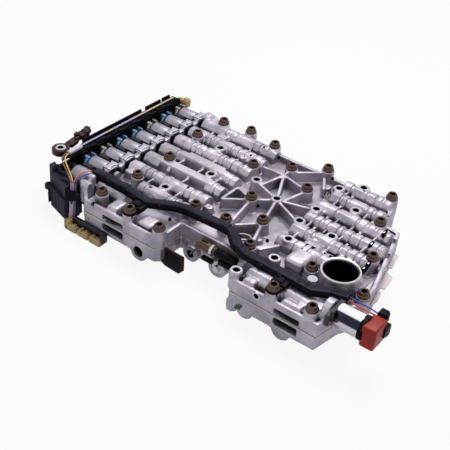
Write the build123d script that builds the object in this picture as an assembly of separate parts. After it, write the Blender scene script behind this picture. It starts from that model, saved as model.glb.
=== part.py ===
from build123d import *
import os
from math import atan2, degrees, hypot, radians, tan

# Transmission valve body, in mm: two castings with a separator plate between them, eight
# solenoids on the left end, one larger solenoid on the right end, and the wiring.
# +X runs along the ridges to the right solenoid, +Y to the back edge, +Z up. The layout is
# drawn about a point near the middle of the deck, and every piece is moved at the end so that
# the origin is the axis of the suction port, at the base face.

# Levels above the base face
lower_top = 24.4
plate_thickness = 1.2
upper_base = lower_top + plate_thickness
skirt_bottom = 9.5
deck_floor = 33.0
rim_top = 41.0
seat_top = 47.5
head_height = 6.5
head_top = seat_top + head_height

# Casting outline
left_end = -166.0
front_edge = -50.0
back_edge = 171.0
notch_left = -44.0
notch_right = 42.0
notch_back = -13.0
tower_left = -160.0
tower_back = -29.0
left_block_left = -146.0
right_block_right = 143.0
corner_radius = 8.0
rim_wall = 4.0
fit_gap = 0.2

# Suction port
port_x = 125.0
port_y = 17.0
port_bore_radius = 17.5
port_wall = 2.6
port_top = 55.0
port_pad_wall = 5.5
port_pad_sides = 16

# Fasteners
bolt_shank_radius = 3.0
bolt_hole_gap = 0.2
bolt_head_radius = 6.4
bolt_head_taper = 8
boss_radius = 7.2
case_boss_radius = 6.8
case_hole_radius = 3.3
head_sides = 8
boss_sides = 8
hole_sides = 6
bolt_end = 12.0
bolt_hole_end = 11.0

# Assembly bolts on the deck, and those on tall bosses along the back edge
deck_bolts = [
    (-133, -36), (-89, -42), (-49, -43), (89, -43), (131, -42), (-128, 14), (-47, 12.5),
    (-9.5, 15), (34, -4), (98.5, 8.5), (156.5, 7), (19.4, 39), (-14, 65.5), (-127, 66),
    (135, 62.5), (21, 120.5), (-50, 119.5), (111.5, 120.5), (-135.5, 127), (-15, 144.5),
]
back_bolts = [(-131, 172), (-95, 178), (-56, 171), (17, 171), (98, 171)]
tab_bolts = [(-89, -42), (89, -43)]
ear_radius = 7.5

# Holes for the bolts that hold the valve body to the transmission case
pattern_spacing = 180.0
pattern_left = (-99.6, 124.0)
pattern_right = (pattern_left[0] + pattern_spacing, pattern_left[1])
case_holes = [
    (-73.6, 73), (-93.6, 19), (-30.6, 99), (48, 97), (46.4, 67), (55.4, 33),
    (62.4, -2), (85.4, 67), (45.4, 148), (46, -42),
]
ear_hole = (65, 168)
case_pad_radius = 7.0
case_pads = [pattern_left, pattern_right, ear_hole, case_holes[1], case_holes[9]]

# Ridges over the valve bores, all along X
ridge_pitch = 26.0
first_ridge = 8.0
ridge_count = 7
ridge_radius = 9.0
ridge_axis = seat_top - ridge_radius
band_pitch = 52.0
band_width = 40.0
band_groove = 1.6
ridge_shoulder = 0.3
ridge_flat = 0.42
cross_wall_top = 40.0
left_field = (-153.0, -46.0)
right_field_start = 44.0
right_field_ends = (104.0, 138.0, 138.0, 130.0, 108.0, 104.0)

# Valves in the ridges
valve_radius = 4.75
valve_gap = 0.05
valve_sides = 8
valve_land = 9.0
valve_waist = 2.6
left_valve_length = 52.0
right_valve_length = 40.0
spring_length = 20.0
spring_radius = 4.2
spring_bore = 3.3
spring_sides = 6
seat_gap = 0.1
left_valve_rows = (34.0, 86.0, 112.0, 138.0)
right_valve_rows = {86.0: 138.0, 112.0: 130.0, 138.0: 108.0}
plug_length = 12.0
plug_groove = 3.0
plug_groove_radius = 3.0
plug_end_land = 4.0
keeper_thickness = 2.6
keeper_width = 8.8
keeper_top = seat_top - 1.0
keeper_bottom = ridge_axis - 4.0

# Manual valve in the front wall of the lower casting, along Y
manual_x = 8.0
manual_z = 14.0
manual_bore_radius = 7.0
manual_radius = manual_bore_radius - valve_gap
manual_waist = 4.0
manual_length = 54.0
manual_land = 12.0
manual_front = -19.0
barrel_radius = 10.3
barrel_front = -20.0
pin_bore_x = -26.0
pin_bore_z = 15.0
pin_bore_radius = 4.5
pin_bore_depth = 20.0

# Solenoid bank on the left end
solenoid_count = 8
first_solenoid = -18.0
can_radius = 10.5
can_right = left_end - 1.0
can_left = -189.0
nose_radius = 5.6
nose_end = -150.0
core_radius = 7.6
core_left = can_left - 7.0
ring_left = can_left - 4.2
ring_wall = 2.9
ring_mouth = 9.0
ring_tab = 5.0
can_sides = 12
seat_pad_front = -7.5
seat_pad_back = 9.0
seat_pad_length = 8.0
seat_pad_top = 47.0
seat_link_back = 17.0
seat_link_top = 45.0
ringed_rows = range(1, 8)

# Housing and terminal rail behind the solenoids
housing_left = -209.0
housing_front = -37.0
housing_back = 173.0
housing_bottom = 3.5
housing_top = 50.0
housing_wall = 3.5
housing_nose = (-172.0, -53.0)
housing_right = -170.5
front_wall_right = -173.1
front_wall_top = 42.0
corner_post_right = -203.0
contact_gap = 0.1
tray_top = ridge_axis - can_radius - fit_gap
tray_right = left_end - fit_gap
tray_bottom = 14.0
cradle_left = -190.0
cradle_top = 45.5
rail_left = -211.0
rail_right = -199.0
rail_front = -8.0
rail_back = 172.0
rail_top = 53.5
fin_thickness = 1.8
fin_top = 57.0
fin_spans = ((16.0, 68.6), (69.6, 114.0), (122.0, 149.0), (152.4, 166.3))
strip_width = 3.2
strip_height = 1.6
strip_front = 6.5
sleeve_x = -203.9
sleeve_front = -14.0
sleeve_back = 5.5
sleeve_outer = 2.6

# Harness conduit: its centre line on top of the deck
conduit_width = 12.4
conduit_top = 54.0
conduit_bottom = seat_top + 0.2
conduit_route = [
    (-163, -14.5), (-118, -16), (-85, -20), (-60, -5), (-47, -1), (0, 1.5), (10, 0), (26, -14.5),
    (42, -20), (100, -21.5), (118, -22), (133, -12.5), (149.5, -8),
]
tab_thickness = 1.5
tab_width = 11.0
tab_front = 6.2

# Right solenoid
motor_y = -29.0
motor_z = 46.0
motor_radius = 12.0
motor_left = 151.0
motor_right = 178.0
retainer_bottom = rim_top + 0.2
retainer_top = 54.0
retainer_front = -46.5
screw_y = -44.0
screw_z = 46.0
screw_radius = 2.6
cap_right = 197.0
cap_sides = 8
arch_left = 138.0
arch_right = 146.0
arch_radius = 11.5
motor_nose_radius = 6.5
motor_nose_depth = 7.0

collar_width = 2.0
plug_x = 187.0
plug_y = -13.0
plug_size = 8.0
plug_top = 60.0

# Temperature sensor in front of the notch wall
sensor_y = -19.5
sensor_z = 34.0
sensor_radius = 5.2
sensor_left = -17.0
sensor_split = 6.0
sleeve_right = 31.0
sleeve_radius = 4.6
clip_width = 3.0
pin_radius = 0.9
pin_y = -21.2
pin_lower = (-25.0, 16.5)
pin_upper = (-15.5, 28.5)

# Shield plate in the notch, in X and Z, with a foot under the left block
shield_y = -37.0
shield_thickness = 2.4
shield_outline = [
    (-43.8, 24), (-20, 24), (-19.5, 7), (-25, 0.5), (-43, 1.5), (-50, 5), (-50, 9.3), (-43.8, 9.3),
]

# White plug beside the suction port
white_plug_x = 108.0
white_plug_y = -5.0
white_plug_radius = 5.0

# Connectors and arm on the left end
connector_left = -164.0
connector_right = -114.5
connector_front = -61.0
connector_top = 4.5
connector_gap = 2.0
inlet_right = -160.2
inlet_back = -51.2
inlet_top = 8.0
band_left = -159.3
band_right = -112.0
band_thickness = 3.7
band_back = front_edge - contact_gap
band_bottom = 3.0
band_top = 14.0
latch_corners = [(-172.74, -50.08), (-163.5, -43.6), (-162.6, -44.8), (-171.9, -51.3)]
latch_top = 40.0
arm_eye = (-220.8, -9.0)
arm_tip = (-230.0, 46.0)
eye_radius = 9.8
bush_radius = 6.0
bush_bore = 3.4
arm_thickness = 7.0

# Wires: corner points of each route, rounded by arcs that take most of the shorter run
wire_radius = 0.8
wire_sides = 6
bend_share = 0.45
wire_start = sleeve_front - contact_gap
plug_face = plug_x - plug_size / 2 - 3 * contact_gap
wire_routes = {
    "yellow_wire": [
        (-203, wire_start, 56.1), (-201.5, -22.2, 56.6), (-191.5, -30, 55.2), (-177.5, -36.8, 51.8),
        (-170.7, -41, 46.6),
    ],
    "brown_wire": [
        (-204.9, wire_start, 56.1), (-204.6, -22.7, 56.5), (-196, -30.6, 54.9), (-180.5, -37.6, 51.2),
        (-172.1, -41.9, 46.6),
    ],
    "orange_wire": [
        (-169.3, -40, 46.6), (-171.5, -34, 51.5), (-169.5, -24, 52.5), (-163.75, -16.5, 51.5),
    ],
    "blue_wire": [
        (-167.9, -39.1, 46.6), (-168.5, -33, 49.5), (-167.5, -25, 50.5), (-163.85, -18.5, 49.5),
    ],
    "motor_blue_wire": [
        (149.85, -7.2, 51), (157.5, -9.6, 52.6), (171, -10.4, 53.6), (plug_face, -13.6, 54.6),
    ],
    "motor_red_wire": [
        (150.5, -9.6, 49.6), (160.5, -13.6, 50.4), (173.5, -14.2, 52.2), (plug_face, -15.6, 53),
    ],
}

# Flat cable: distance along its heading and height, from the ends of the four wires
flat_start = (-170.0, -40.5)
flat_heading = (0.55, -0.835)
flat_across = (0.835, 0.55)
flat_width = 6.8
flat_thickness = 1.6
flat_route = [(0, 45.6), (2.9, 38.2), (5.3, 27.5), (8.6, 17.5), (13.4, 8.45)]
clip_back = -5.0
clip_front = -1.0
clip_top = 45.4


def move_home(shape):
    return Pos(-port_x, -port_y, 0) * shape


def save(name, solids):
    parts = list(solids) if isinstance(solids, (list, tuple)) else [solids]
    parts = [move_home(part) for part in parts]
    export_step(parts[0] if len(parts) == 1 else Compound(children=parts), f"parts/{name}.step")


def block(x0, x1, y0, y1, z0, z1):
    return Pos((x0 + x1) / 2, (y0 + y1) / 2, (z0 + z1) / 2) * Box(x1 - x0, y1 - y0, z1 - z0)


def prism(points, z0, z1):
    return Pos(0, 0, z0) * extrude(make_face(Polyline(*points, close=True)), z1 - z0)


def post(x, y, radius, z0, z1, sides=None):
    section = Circle(radius) if sides is None else RegularPolygon(radius, sides, rotation=180 / sides)
    return Pos(x, y, z0) * extrude(section, z1 - z0)


def rod_x(x0, x1, y, z, radius, sides=None):
    return Pos(x0, y, z) * Rot(0, 90, 0) * post(0, 0, radius, 0, x1 - x0, sides)


def rod_y(x, y0, y1, z, radius, sides=None):
    return Pos(x, y0, z) * Rot(-90, 0, 0) * post(0, 0, radius, 0, y1 - y0, sides)


def rib(start, end, width, z0, z1):
    length = hypot(end[0] - start[0], end[1] - start[1])
    angle = degrees(atan2(end[1] - start[1], end[0] - start[0]))
    bar = Pos(length / 2, 0, (z0 + z1) / 2) * Box(length, width, z1 - z0)
    return Pos(start[0], start[1], 0) * Rot(0, 0, angle) * bar


def ribbon(route, width):
    left, right = [], []
    for i, (x, y) in enumerate(route):
        before = route[max(i - 1, 0)]
        after = route[min(i + 1, len(route) - 1)]
        along = Vector(after[0] - before[0], after[1] - before[1]).normalized()
        left.append((x - along.Y * width / 2, y + along.X * width / 2))
        right.append((x + along.Y * width / 2, y - along.X * width / 2))
    return make_face(Polyline(*left, *reversed(right), close=True))


def rounded(name, route):
    points = [Vector(*point) for point in route]
    radii = []
    for before, corner, after in zip(points, points[1:], points[2:]):
        inward = corner - before
        outward = after - corner
        half_turn = radians(inward.get_angle(outward)) / 2
        radii.append(bend_share * min(inward.length, outward.length) / tan(half_turn))
    line = FilletPolyline(*route, radius=radii)
    print(name, "length", round(line.length, 1), "radii", [round(radius, 1) for radius in radii])
    return line


def wire(name, route):
    line = rounded(name, route)
    start = Plane(origin=line @ 0, z_dir=line % 0)
    return sweep(start * RegularPolygon(wire_radius, wire_sides), path=line)


def beside_cable(along, across):
    x = flat_start[0] + along * flat_heading[0] + across * flat_across[0]
    y = flat_start[1] + along * flat_heading[1] + across * flat_across[1]
    return (x, y)


def flat_cable():
    line = rounded("flat_cable", [(*beside_cable(along, 0), z) for along, z in flat_route])
    start = Plane(origin=line @ 0, x_dir=(*flat_across, 0), z_dir=line % 0)
    return sweep(start * Rectangle(flat_width, flat_thickness), path=line)


def casting_outline():
    chamfer_by = corner_radius * 0.6
    corners = [
        (left_block_left + 1, front_edge),
        (notch_left - chamfer_by, front_edge),
        (notch_left, front_edge + chamfer_by),
        (notch_left, notch_back),
        (notch_right, notch_back),
        (notch_right, front_edge + chamfer_by),
        (notch_right + chamfer_by, front_edge),
        (right_block_right, front_edge),
        (149, -16),
        (160, 4),
        (157, 32),
        (142, 90),
        (132, 129),
        (112, 132),
        (105, back_edge),
        (left_end, back_edge),
        (left_end, tower_back),
        (tower_left, tower_back),
        (tower_left, -36),
    ]
    return make_face(Polyline(*corners, close=True))


def layer(z0, z1):
    outline = Pos(0, 0, z0) * extrude(casting_outline(), z1 - z0)
    ears = []
    for x, y in back_bolts + [ear_hole]:
        ears.append(post(x, y, ear_radius, z0, z1, hole_sides))
        ears.append(block(x - ear_radius / 2, x + ear_radius / 2, back_edge - ear_radius, y, z0, z1))
    return outline + ears


def bolt_holes(z0, z1):
    radius = bolt_shank_radius + bolt_hole_gap
    return [post(x, y, radius, z0, z1, hole_sides) for x, y in deck_bolts + back_bolts]


def case_bores(z0, z1, pattern_sides=None):
    plain = [post(x, y, case_hole_radius, z0, z1, boss_sides) for x, y in case_holes + [ear_hole]]
    pattern = [
        post(x, y, case_hole_radius, z0, z1, pattern_sides) for x, y in (pattern_left, pattern_right)
    ]
    return plain + pattern + [post(port_x, port_y, port_bore_radius, z0, z1)]


def arch(drop):
    shoulder = ridge_axis + ridge_radius * ridge_shoulder
    flat = ridge_radius * ridge_flat
    points = [
        (-ridge_radius, deck_floor - 1), (ridge_radius, deck_floor - 1), (ridge_radius, shoulder),
        (flat, seat_top - drop), (-flat, seat_top - drop), (-ridge_radius, shoulder),
    ]
    return Plane.YZ * make_face(Polyline(*points, close=True))


def ridge(y, x0, x1):
    core = Pos(x0, y, 0) * extrude(arch(band_groove), x1 - x0)
    bands = []
    start = x0
    while start + band_width <= x1:
        bands.append(Pos(start, y, 0) * extrude(arch(0), band_width))
        start += band_pitch
    return [core] + bands


def boss(x, y, radius, top):
    return post(x, y, radius, deck_floor - 1, top, boss_sides)


def star_ribs():
    hub = (6.4, 84)
    lower_node = (-15, 130)
    top = seat_top - 1.5
    spokes = [
        (hub, (-30.6, 99)), (hub, (48, 97)), (hub, (44, 66)), (hub, (19.4, 39)), (hub, (-14, 65.5)),
        ((-14, 65.5), (-38, 45)), (hub, lower_node), (lower_node, (-42, 128)),
        (lower_node, (-15, 144.5)), (lower_node, (21, 120.5)), (lower_node, (-22, 97)),
        ((21, 120.5), (13, 87)), ((17, 168), (-10, 142)), ((21, 157), (33, 136)),
        ((-38, 75), (-38, 45)), ((-38, 75), (-14, 65.5)), ((-14, 65.5), (-6, 20)),
        ((0, 17), (19.4, 39)), ((19.4, 39), (34, -4)), ((42, 0), (54, 20)), ((34, -4), (54, 20)),
    ]
    return [rib(start, end, 3.2, deck_floor - 1, top) for start, end in spokes] + [
        boss(hub[0], hub[1], case_boss_radius, seat_top),
    ]


def cross_walls():
    spans = [(-110, 34, 164), (-78, 34, 164), (60, 60, 164), (100, 60, 138)]
    return [rib((x, y0), (x, y1), 3.0, deck_floor - 1, cross_wall_top) for x, y0, y1 in spans]


def solenoid_rows():
    return [first_solenoid + ridge_pitch * i for i in range(solenoid_count)]


def solenoid_seats():
    rows = solenoid_rows()
    right = left_end + seat_pad_length
    pads = [
        block(left_end, right, y + seat_pad_front, y + seat_pad_back, deck_floor - 1, seat_pad_top)
        for y in rows
    ]
    links = [
        block(left_end + 3, right + 1, y + seat_pad_back, y + seat_link_back, deck_floor - 1, seat_link_top)
        for y in rows[:-1]
    ]
    return pads + links


def valve_bores():
    spool_radius = valve_radius + valve_gap
    left_end_x = nose_end + left_valve_length + spring_length + 3 * seat_gap
    bores = [
        rod_x(nose_end - 1, left_end_x, y, ridge_axis, spool_radius, valve_sides)
        for y in left_valve_rows
    ]
    for y, outer in right_valve_rows.items():
        inner = outer - plug_length - right_valve_length - spring_length - 3 * seat_gap
        bores.append(rod_x(inner, outer + 20, y, ridge_axis, spool_radius, valve_sides))
    return bores


def keeper_slot(y, outer, gap):
    middle = outer - plug_end_land - plug_groove / 2
    half = keeper_thickness / 2 + gap
    wide = keeper_width / 2 + gap
    return block(middle - half, middle + half, y - wide, y + wide, keeper_bottom - gap, keeper_top + 3)


def front_windows(z0, z1):
    left = block(-120, -92, front_edge - 1, front_edge + 12, z0, z1)
    right = block(96, 124, front_edge - 1, front_edge + 12, z0, z1)
    return [left, right]


def upper_casting():
    floor = layer(upper_base, deck_floor)
    outer = casting_outline()
    inner = offset(outer, -rim_wall, kind=Kind.INTERSECTION)
    rim = Pos(0, 0, deck_floor) * extrude(outer - inner, rim_top - deck_floor)
    ridges = ridge(first_ridge, -118, left_field[1] - 8)
    for i in range(1, ridge_count):
        y = first_ridge + i * ridge_pitch
        ridges += ridge(y, left_field[0], left_field[1])
        ridges += ridge(y, right_field_start, right_field_ends[i - 1])
    ridges += ridge(motor_y, 54, arch_left)
    ridges += ridge(first_solenoid, left_end + 14, -112)
    flats = [
        block(-133, -65, 55, 66, deck_floor, seat_top),
        block(-118, -68, 82, 94, deck_floor, seat_top),
    ]
    deck = [rim] + ridges + flats + star_ribs() + cross_walls() + solenoid_seats()
    bosses = [boss(x, y, boss_radius, seat_top) for x, y in deck_bolts]
    bosses += [boss(x, y, case_boss_radius, seat_top) for x, y in case_holes]
    bosses += [boss(x, y, case_boss_radius, seat_top) for x, y in (pattern_left, pattern_right)]
    tall = [post(x, y, ear_radius, upper_base, seat_top, boss_sides) for x, y in back_bolts + [ear_hole]]
    port = [post(port_x, port_y, port_bore_radius + port_wall, upper_base, port_top)]
    barrel = rod_x(arch_left, arch_right, motor_y, motor_z, arch_radius, can_sides)
    foot = block(arch_left, arch_right, motor_y - arch_radius, motor_y + arch_radius, deck_floor, motor_z)
    lugs = [
        block(tower_left, tower_left + 10, -40, tower_back, upper_base, 46),
        rod_x(tower_left, tower_left + 10, -35, 46, 5.5, can_sides),
    ]
    body = floor + deck + bosses + tall + port + [barrel, foot] + lugs
    noses = [
        rod_x(left_end - 1, nose_end + fit_gap, y, ridge_axis, nose_radius + fit_gap, valve_sides)
        for y in solenoid_rows()
    ]
    motor_nose = rod_x(arch_right - motor_nose_depth, motor_left, motor_y, motor_z,
                       motor_nose_radius + fit_gap, can_sides)
    cuts = [motor_nose] + case_bores(upper_base - 1, port_top + 1, boss_sides) + bolt_holes(upper_base - 1, seat_top + 1)
    cuts += valve_bores() + noses
    cuts += [keeper_slot(y, outer, fit_gap / 2) for y, outer in right_valve_rows.items()]
    cuts += front_windows(upper_base + 1.4, upper_base + 8)
    return body - cuts


def separator_plate():
    return layer(lower_top, upper_base) - (case_bores(lower_top - 1, upper_base + 1, boss_sides)
                                          + bolt_holes(lower_top - 1, upper_base + 1))


def lower_casting():
    skirt = layer(skirt_bottom, lower_top)
    pads = [
        post(x, y, case_pad_radius, 0, skirt_bottom + 1, boss_sides)
        for x, y in case_pads
    ]
    pads.append(post(port_x, port_y, port_bore_radius + port_pad_wall, 0, skirt_bottom + 1, port_pad_sides))
    lobes = [
        rod_y(x, front_edge, -16, skirt_bottom + 1, radius, can_sides)
        for x, radius in ((-70, 10.5), (-132, 10), (64, 9), (106, 10.5))
    ]
    barrels = [
        rod_y(manual_x, barrel_front, 40, manual_z, barrel_radius, can_sides),
        rod_y(pin_bore_x, barrel_front, 10, pin_bore_z, barrel_radius - 1.2, can_sides),
    ]
    body = skirt + pads + lobes + barrels
    manual_bore = rod_y(
        manual_x, barrel_front - 1, manual_front + manual_length + 1, manual_z, manual_bore_radius,
    )
    cuts = case_bores(-1, lower_top + 1) + bolt_holes(bolt_hole_end, lower_top + 1)
    cuts += [
        manual_bore,
        rod_y(pin_bore_x, barrel_front - 1, barrel_front + pin_bore_depth, pin_bore_z, pin_bore_radius,
              can_sides),
        rod_y(-70, front_edge - 1, front_edge + 14, skirt_bottom + 2, 7, port_pad_sides),
    ]
    cuts += front_windows(skirt_bottom + 5, lower_top - 1.4)
    return body - cuts


def casting_bolts():
    bolts = []
    section = RegularPolygon(bolt_head_radius, head_sides)
    head = extrude(section, head_height, taper=bolt_head_taper)
    for x, y in deck_bolts + back_bolts:
        seat = seat_top + (tab_thickness if (x, y) in tab_bolts else 0)
        shank = post(x, y, bolt_shank_radius, bolt_end, seat, hole_sides)
        bolts.append(Pos(x, y, seat) * head + shank)
    return bolts


def solenoid(y):
    nose = rod_x(can_right, nose_end, y, ridge_axis, nose_radius, valve_sides)
    can = rod_x(can_left, can_right, y, ridge_axis, can_radius, can_sides)
    core = rod_x(core_left, can_left, y, ridge_axis, core_radius, valve_sides)
    return nose + can + core


def clip_ring(y):
    outer = core_radius + ring_wall
    ring = rod_x(ring_left, can_left, y, ridge_axis, outer, valve_sides)
    bore = rod_x(ring_left - 1, can_left + 1, y, ridge_axis, core_radius, valve_sides)
    mouth = block(ring_left - 1, can_left + 1, y - ring_mouth / 2, y + ring_mouth / 2,
                  ridge_axis - outer - 1, ridge_axis)
    tab = block(ring_left, can_left, y - ring_tab / 2, y + ring_tab / 2,
                ridge_axis + core_radius + 1, ridge_axis + outer + 1)
    return ring + tab - [bore, mouth]


def solenoid_plug(y):
    return block(rail_right + 0.1, core_left - 0.1, y - 7, y + 7, ridge_axis - 5, ridge_axis + 8)


def end_housing():
    corner = (housing_left, housing_front)
    footprint = [
        (housing_left, housing_back), corner, (-202, -44), housing_nose, (housing_right, -49),
        (housing_right, -38), (housing_right + 3, -35), (housing_right + 3, -31), (cradle_left, -31),
        (cradle_left, housing_back),
    ]
    base = prism(footprint, housing_bottom, tray_top)
    tray = block(cradle_left - 2, tray_right, -30, housing_back, tray_bottom, tray_top)
    cradles = [
        block(cradle_left, tray_right, y + can_radius + fit_gap, y + ridge_pitch - can_radius - fit_gap,
              tray_bottom, cradle_top)
        for y in solenoid_rows()[:-1]
    ]
    back_wall = block(housing_left, housing_left + housing_wall, housing_front, housing_back,
                      tray_top - 1, 43.8)
    front_wall = prism(
        [corner, (front_wall_right, -49.9), (front_wall_right, -36), (corner_post_right, -30)],
        tray_top - 1, front_wall_top,
    )
    corner_post = prism(
        [corner, (corner_post_right, -39.1), (corner_post_right, -30)], tray_top - 1, housing_top,
    )
    side = flat_width / 2
    clip = prism(
        [beside_cable(clip_front, -side), beside_cable(clip_front, side), beside_cable(clip_back, side),
         beside_cable(clip_back, -side)], tray_top - 1, clip_top,
    )
    ear = post(housing_left + 1, housing_front - 3.5, 4.5, 22, 27, can_sides)
    eye = post(housing_left + 1, housing_front - 3.5, 2.2, 21, 28, valve_sides)
    return base + tray + cradles + back_wall + front_wall + corner_post + clip + ear - eye


def terminal_rail():
    body = block(rail_left, rail_right, rail_front, rail_back, 44, rail_top)
    fins = [
        block(rail_left - fin_thickness, rail_left + 0.2, y0, y1, 47, fin_top) for y0, y1 in fin_spans
    ]
    return body + fins


def conduit():
    body = Pos(0, 0, conduit_bottom) * extrude(ribbon(conduit_route, conduit_width),
                                               conduit_top - conduit_bottom)
    tabs = []
    for x, y in tab_bolts:
        plate = block(x - tab_width / 2, x + tab_width / 2, y - tab_front, y + 18, seat_top,
                      seat_top + tab_thickness)
        tabs.append(plate - post(x, y, bolt_shank_radius + bolt_hole_gap, seat_top - 1, head_top, hole_sides))
    return body + tabs


def spool(x0, length, y):
    left = rod_x(x0, x0 + valve_land, y, ridge_axis, valve_radius, valve_sides)
    right = rod_x(x0 + length - valve_land, x0 + length, y, ridge_axis, valve_radius, valve_sides)
    waist = rod_x(x0 + valve_land, x0 + length - valve_land, y, ridge_axis, valve_waist, hole_sides)
    return left + right + waist


def spring(x0, y):
    tube = rod_x(x0, x0 + spring_length, y, ridge_axis, spring_radius, spring_sides)
    return tube - rod_x(x0 - 1, x0 + spring_length + 1, y, ridge_axis, spring_bore, spring_sides)


def end_plug(outer, y):
    groove = outer - plug_end_land - plug_groove
    body = rod_x(outer - plug_length, groove, y, ridge_axis, valve_radius, valve_sides)
    neck = rod_x(groove, groove + plug_groove, y, ridge_axis, plug_groove_radius, hole_sides)
    land = rod_x(groove + plug_groove, outer, y, ridge_axis, valve_radius, valve_sides)
    return body + neck + land


def keeper(outer, y):
    middle = outer - plug_end_land - plug_groove / 2
    half = keeper_thickness / 2
    wide = keeper_width / 2
    plate = block(middle - half, middle + half, y - wide, y + wide, keeper_bottom, keeper_top)
    fork = block(middle - half - 1, middle + half + 1, y - plug_groove_radius - 0.1,
                 y + plug_groove_radius + 0.1, keeper_bottom - 1, ridge_axis + plug_groove_radius)
    return plate - fork


def manual_valve():
    back = manual_front + manual_length
    front_land = rod_y(manual_x, manual_front, manual_front + manual_land, manual_z, manual_radius)
    back_land = rod_y(manual_x, back - manual_land, back, manual_z, manual_radius, can_sides)
    waist = rod_y(manual_x, manual_front + manual_land, back - manual_land, manual_z, manual_waist,
                  valve_sides)
    hook = rod_y(manual_x, manual_front - 3, manual_front, manual_z, manual_waist, valve_sides)
    return front_land + back_land + waist + hook


def right_solenoid():
    can = rod_x(motor_left, motor_right, motor_y, motor_z, motor_radius)
    nose = rod_x(arch_right - motor_nose_depth + 1, motor_left, motor_y, motor_z, motor_nose_radius, can_sides)
    return can + nose


def solenoid_cap():
    collar = rod_x(motor_right, motor_right + collar_width, motor_y, motor_z, motor_radius + 0.4, can_sides)
    return collar + rod_x(motor_right + collar_width, cap_right, motor_y, motor_z, motor_radius + 0.8, cap_sides)


def solenoid_retainer():
    plate = block(arch_right, motor_left, retainer_front, motor_y + motor_radius, retainer_bottom, retainer_top)
    return plate - rod_x(arch_right - 1, motor_left + 1, motor_y, motor_z, motor_nose_radius + fit_gap, can_sides)


def retainer_screw():
    return rod_x(motor_left, motor_left + 3, screw_y, screw_z, screw_radius, head_sides)


def right_plug():
    half = plug_size / 2
    return block(plug_x - half, plug_x + half, plug_y - half, plug_y + half, motor_z - 4, plug_top)


def sensor_body():
    return rod_x(sensor_left, sensor_split, sensor_y, sensor_z, sensor_radius, can_sides)


def sensor_sleeve():
    return rod_x(sensor_split, sleeve_right, sensor_y, sensor_z, sleeve_radius, can_sides)


def sensor_clip():
    outer = sensor_radius + 0.8
    x0 = sensor_split - clip_width - 3
    ring = rod_x(x0, x0 + clip_width, sensor_y, sensor_z, outer, can_sides)
    bore = rod_x(x0 - 1, x0 + clip_width + 1, sensor_y, sensor_z, sensor_radius, can_sides)
    return ring - bore


def sensor_pin():
    start = Vector(pin_lower[0], pin_y, pin_lower[1])
    along = Vector(pin_upper[0], pin_y, pin_upper[1]) - start
    section = Plane(origin=start, z_dir=along) * RegularPolygon(pin_radius, wire_sides)
    return extrude(section, along.length, dir=along.normalized())


def shield_plate():
    face = Plane.XZ * make_face(Polyline(*shield_outline, close=True))
    return Pos(0, shield_y, 0) * extrude(face, shield_thickness)


def port_plug():
    return post(white_plug_x, white_plug_y, white_plug_radius, deck_floor, seat_top + 1, can_sides)


def connector_blocks():
    width = (connector_right - connector_left - 2 * connector_gap) / 3
    back = band_back - band_thickness - contact_gap
    blocks = []
    for i in range(3):
        x0 = connector_left + i * (width + connector_gap)
        blocks.append(block(x0, x0 + width, connector_front, back, 0, connector_top))
    inlet = block(connector_left, inlet_right, connector_front, inlet_back, 0, inlet_top)
    return [blocks[0] + inlet] + blocks[1:]


def connector_band():
    return block(band_left, band_right, band_back - band_thickness, band_back, band_bottom, band_top)


def cable_latch():
    return prism(latch_corners, tray_top + contact_gap, latch_top)


def locating_arm():
    z0, z1 = head_top - arm_thickness, head_top
    eye = post(arm_eye[0], arm_eye[1], eye_radius, z0, z1, can_sides)
    bar = rib(arm_eye, arm_tip, 8.5, z0 + 1, z1 - 1)
    return eye + bar - post(arm_eye[0], arm_eye[1], bush_radius, z0 - 1, z1 + 1, can_sides)


def arm_bushing():
    z0, z1 = head_top - arm_thickness - 0.5, head_top + 0.5
    bush = post(arm_eye[0], arm_eye[1], bush_radius, z0, z1, can_sides)
    return bush - post(arm_eye[0], arm_eye[1], bush_bore, z0 - 1, z1 + 1, can_sides)


def rear_connector():
    low = block(-198, can_left - fit_gap, rail_back + 0.2, rail_back + 9, 44, 54)
    return low + block(-206, -198, rail_back + 0.2, rail_back + 6, 46, 52)


def contact_strip():
    return block(rail_left + 3, rail_left + 3 + strip_width, strip_front, rail_back - 4,
                 rail_top, rail_top + strip_height)


def wire_sleeve():
    return rod_y(sleeve_x, sleeve_front, sleeve_back, rail_top + sleeve_outer, sleeve_outer, can_sides)


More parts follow.
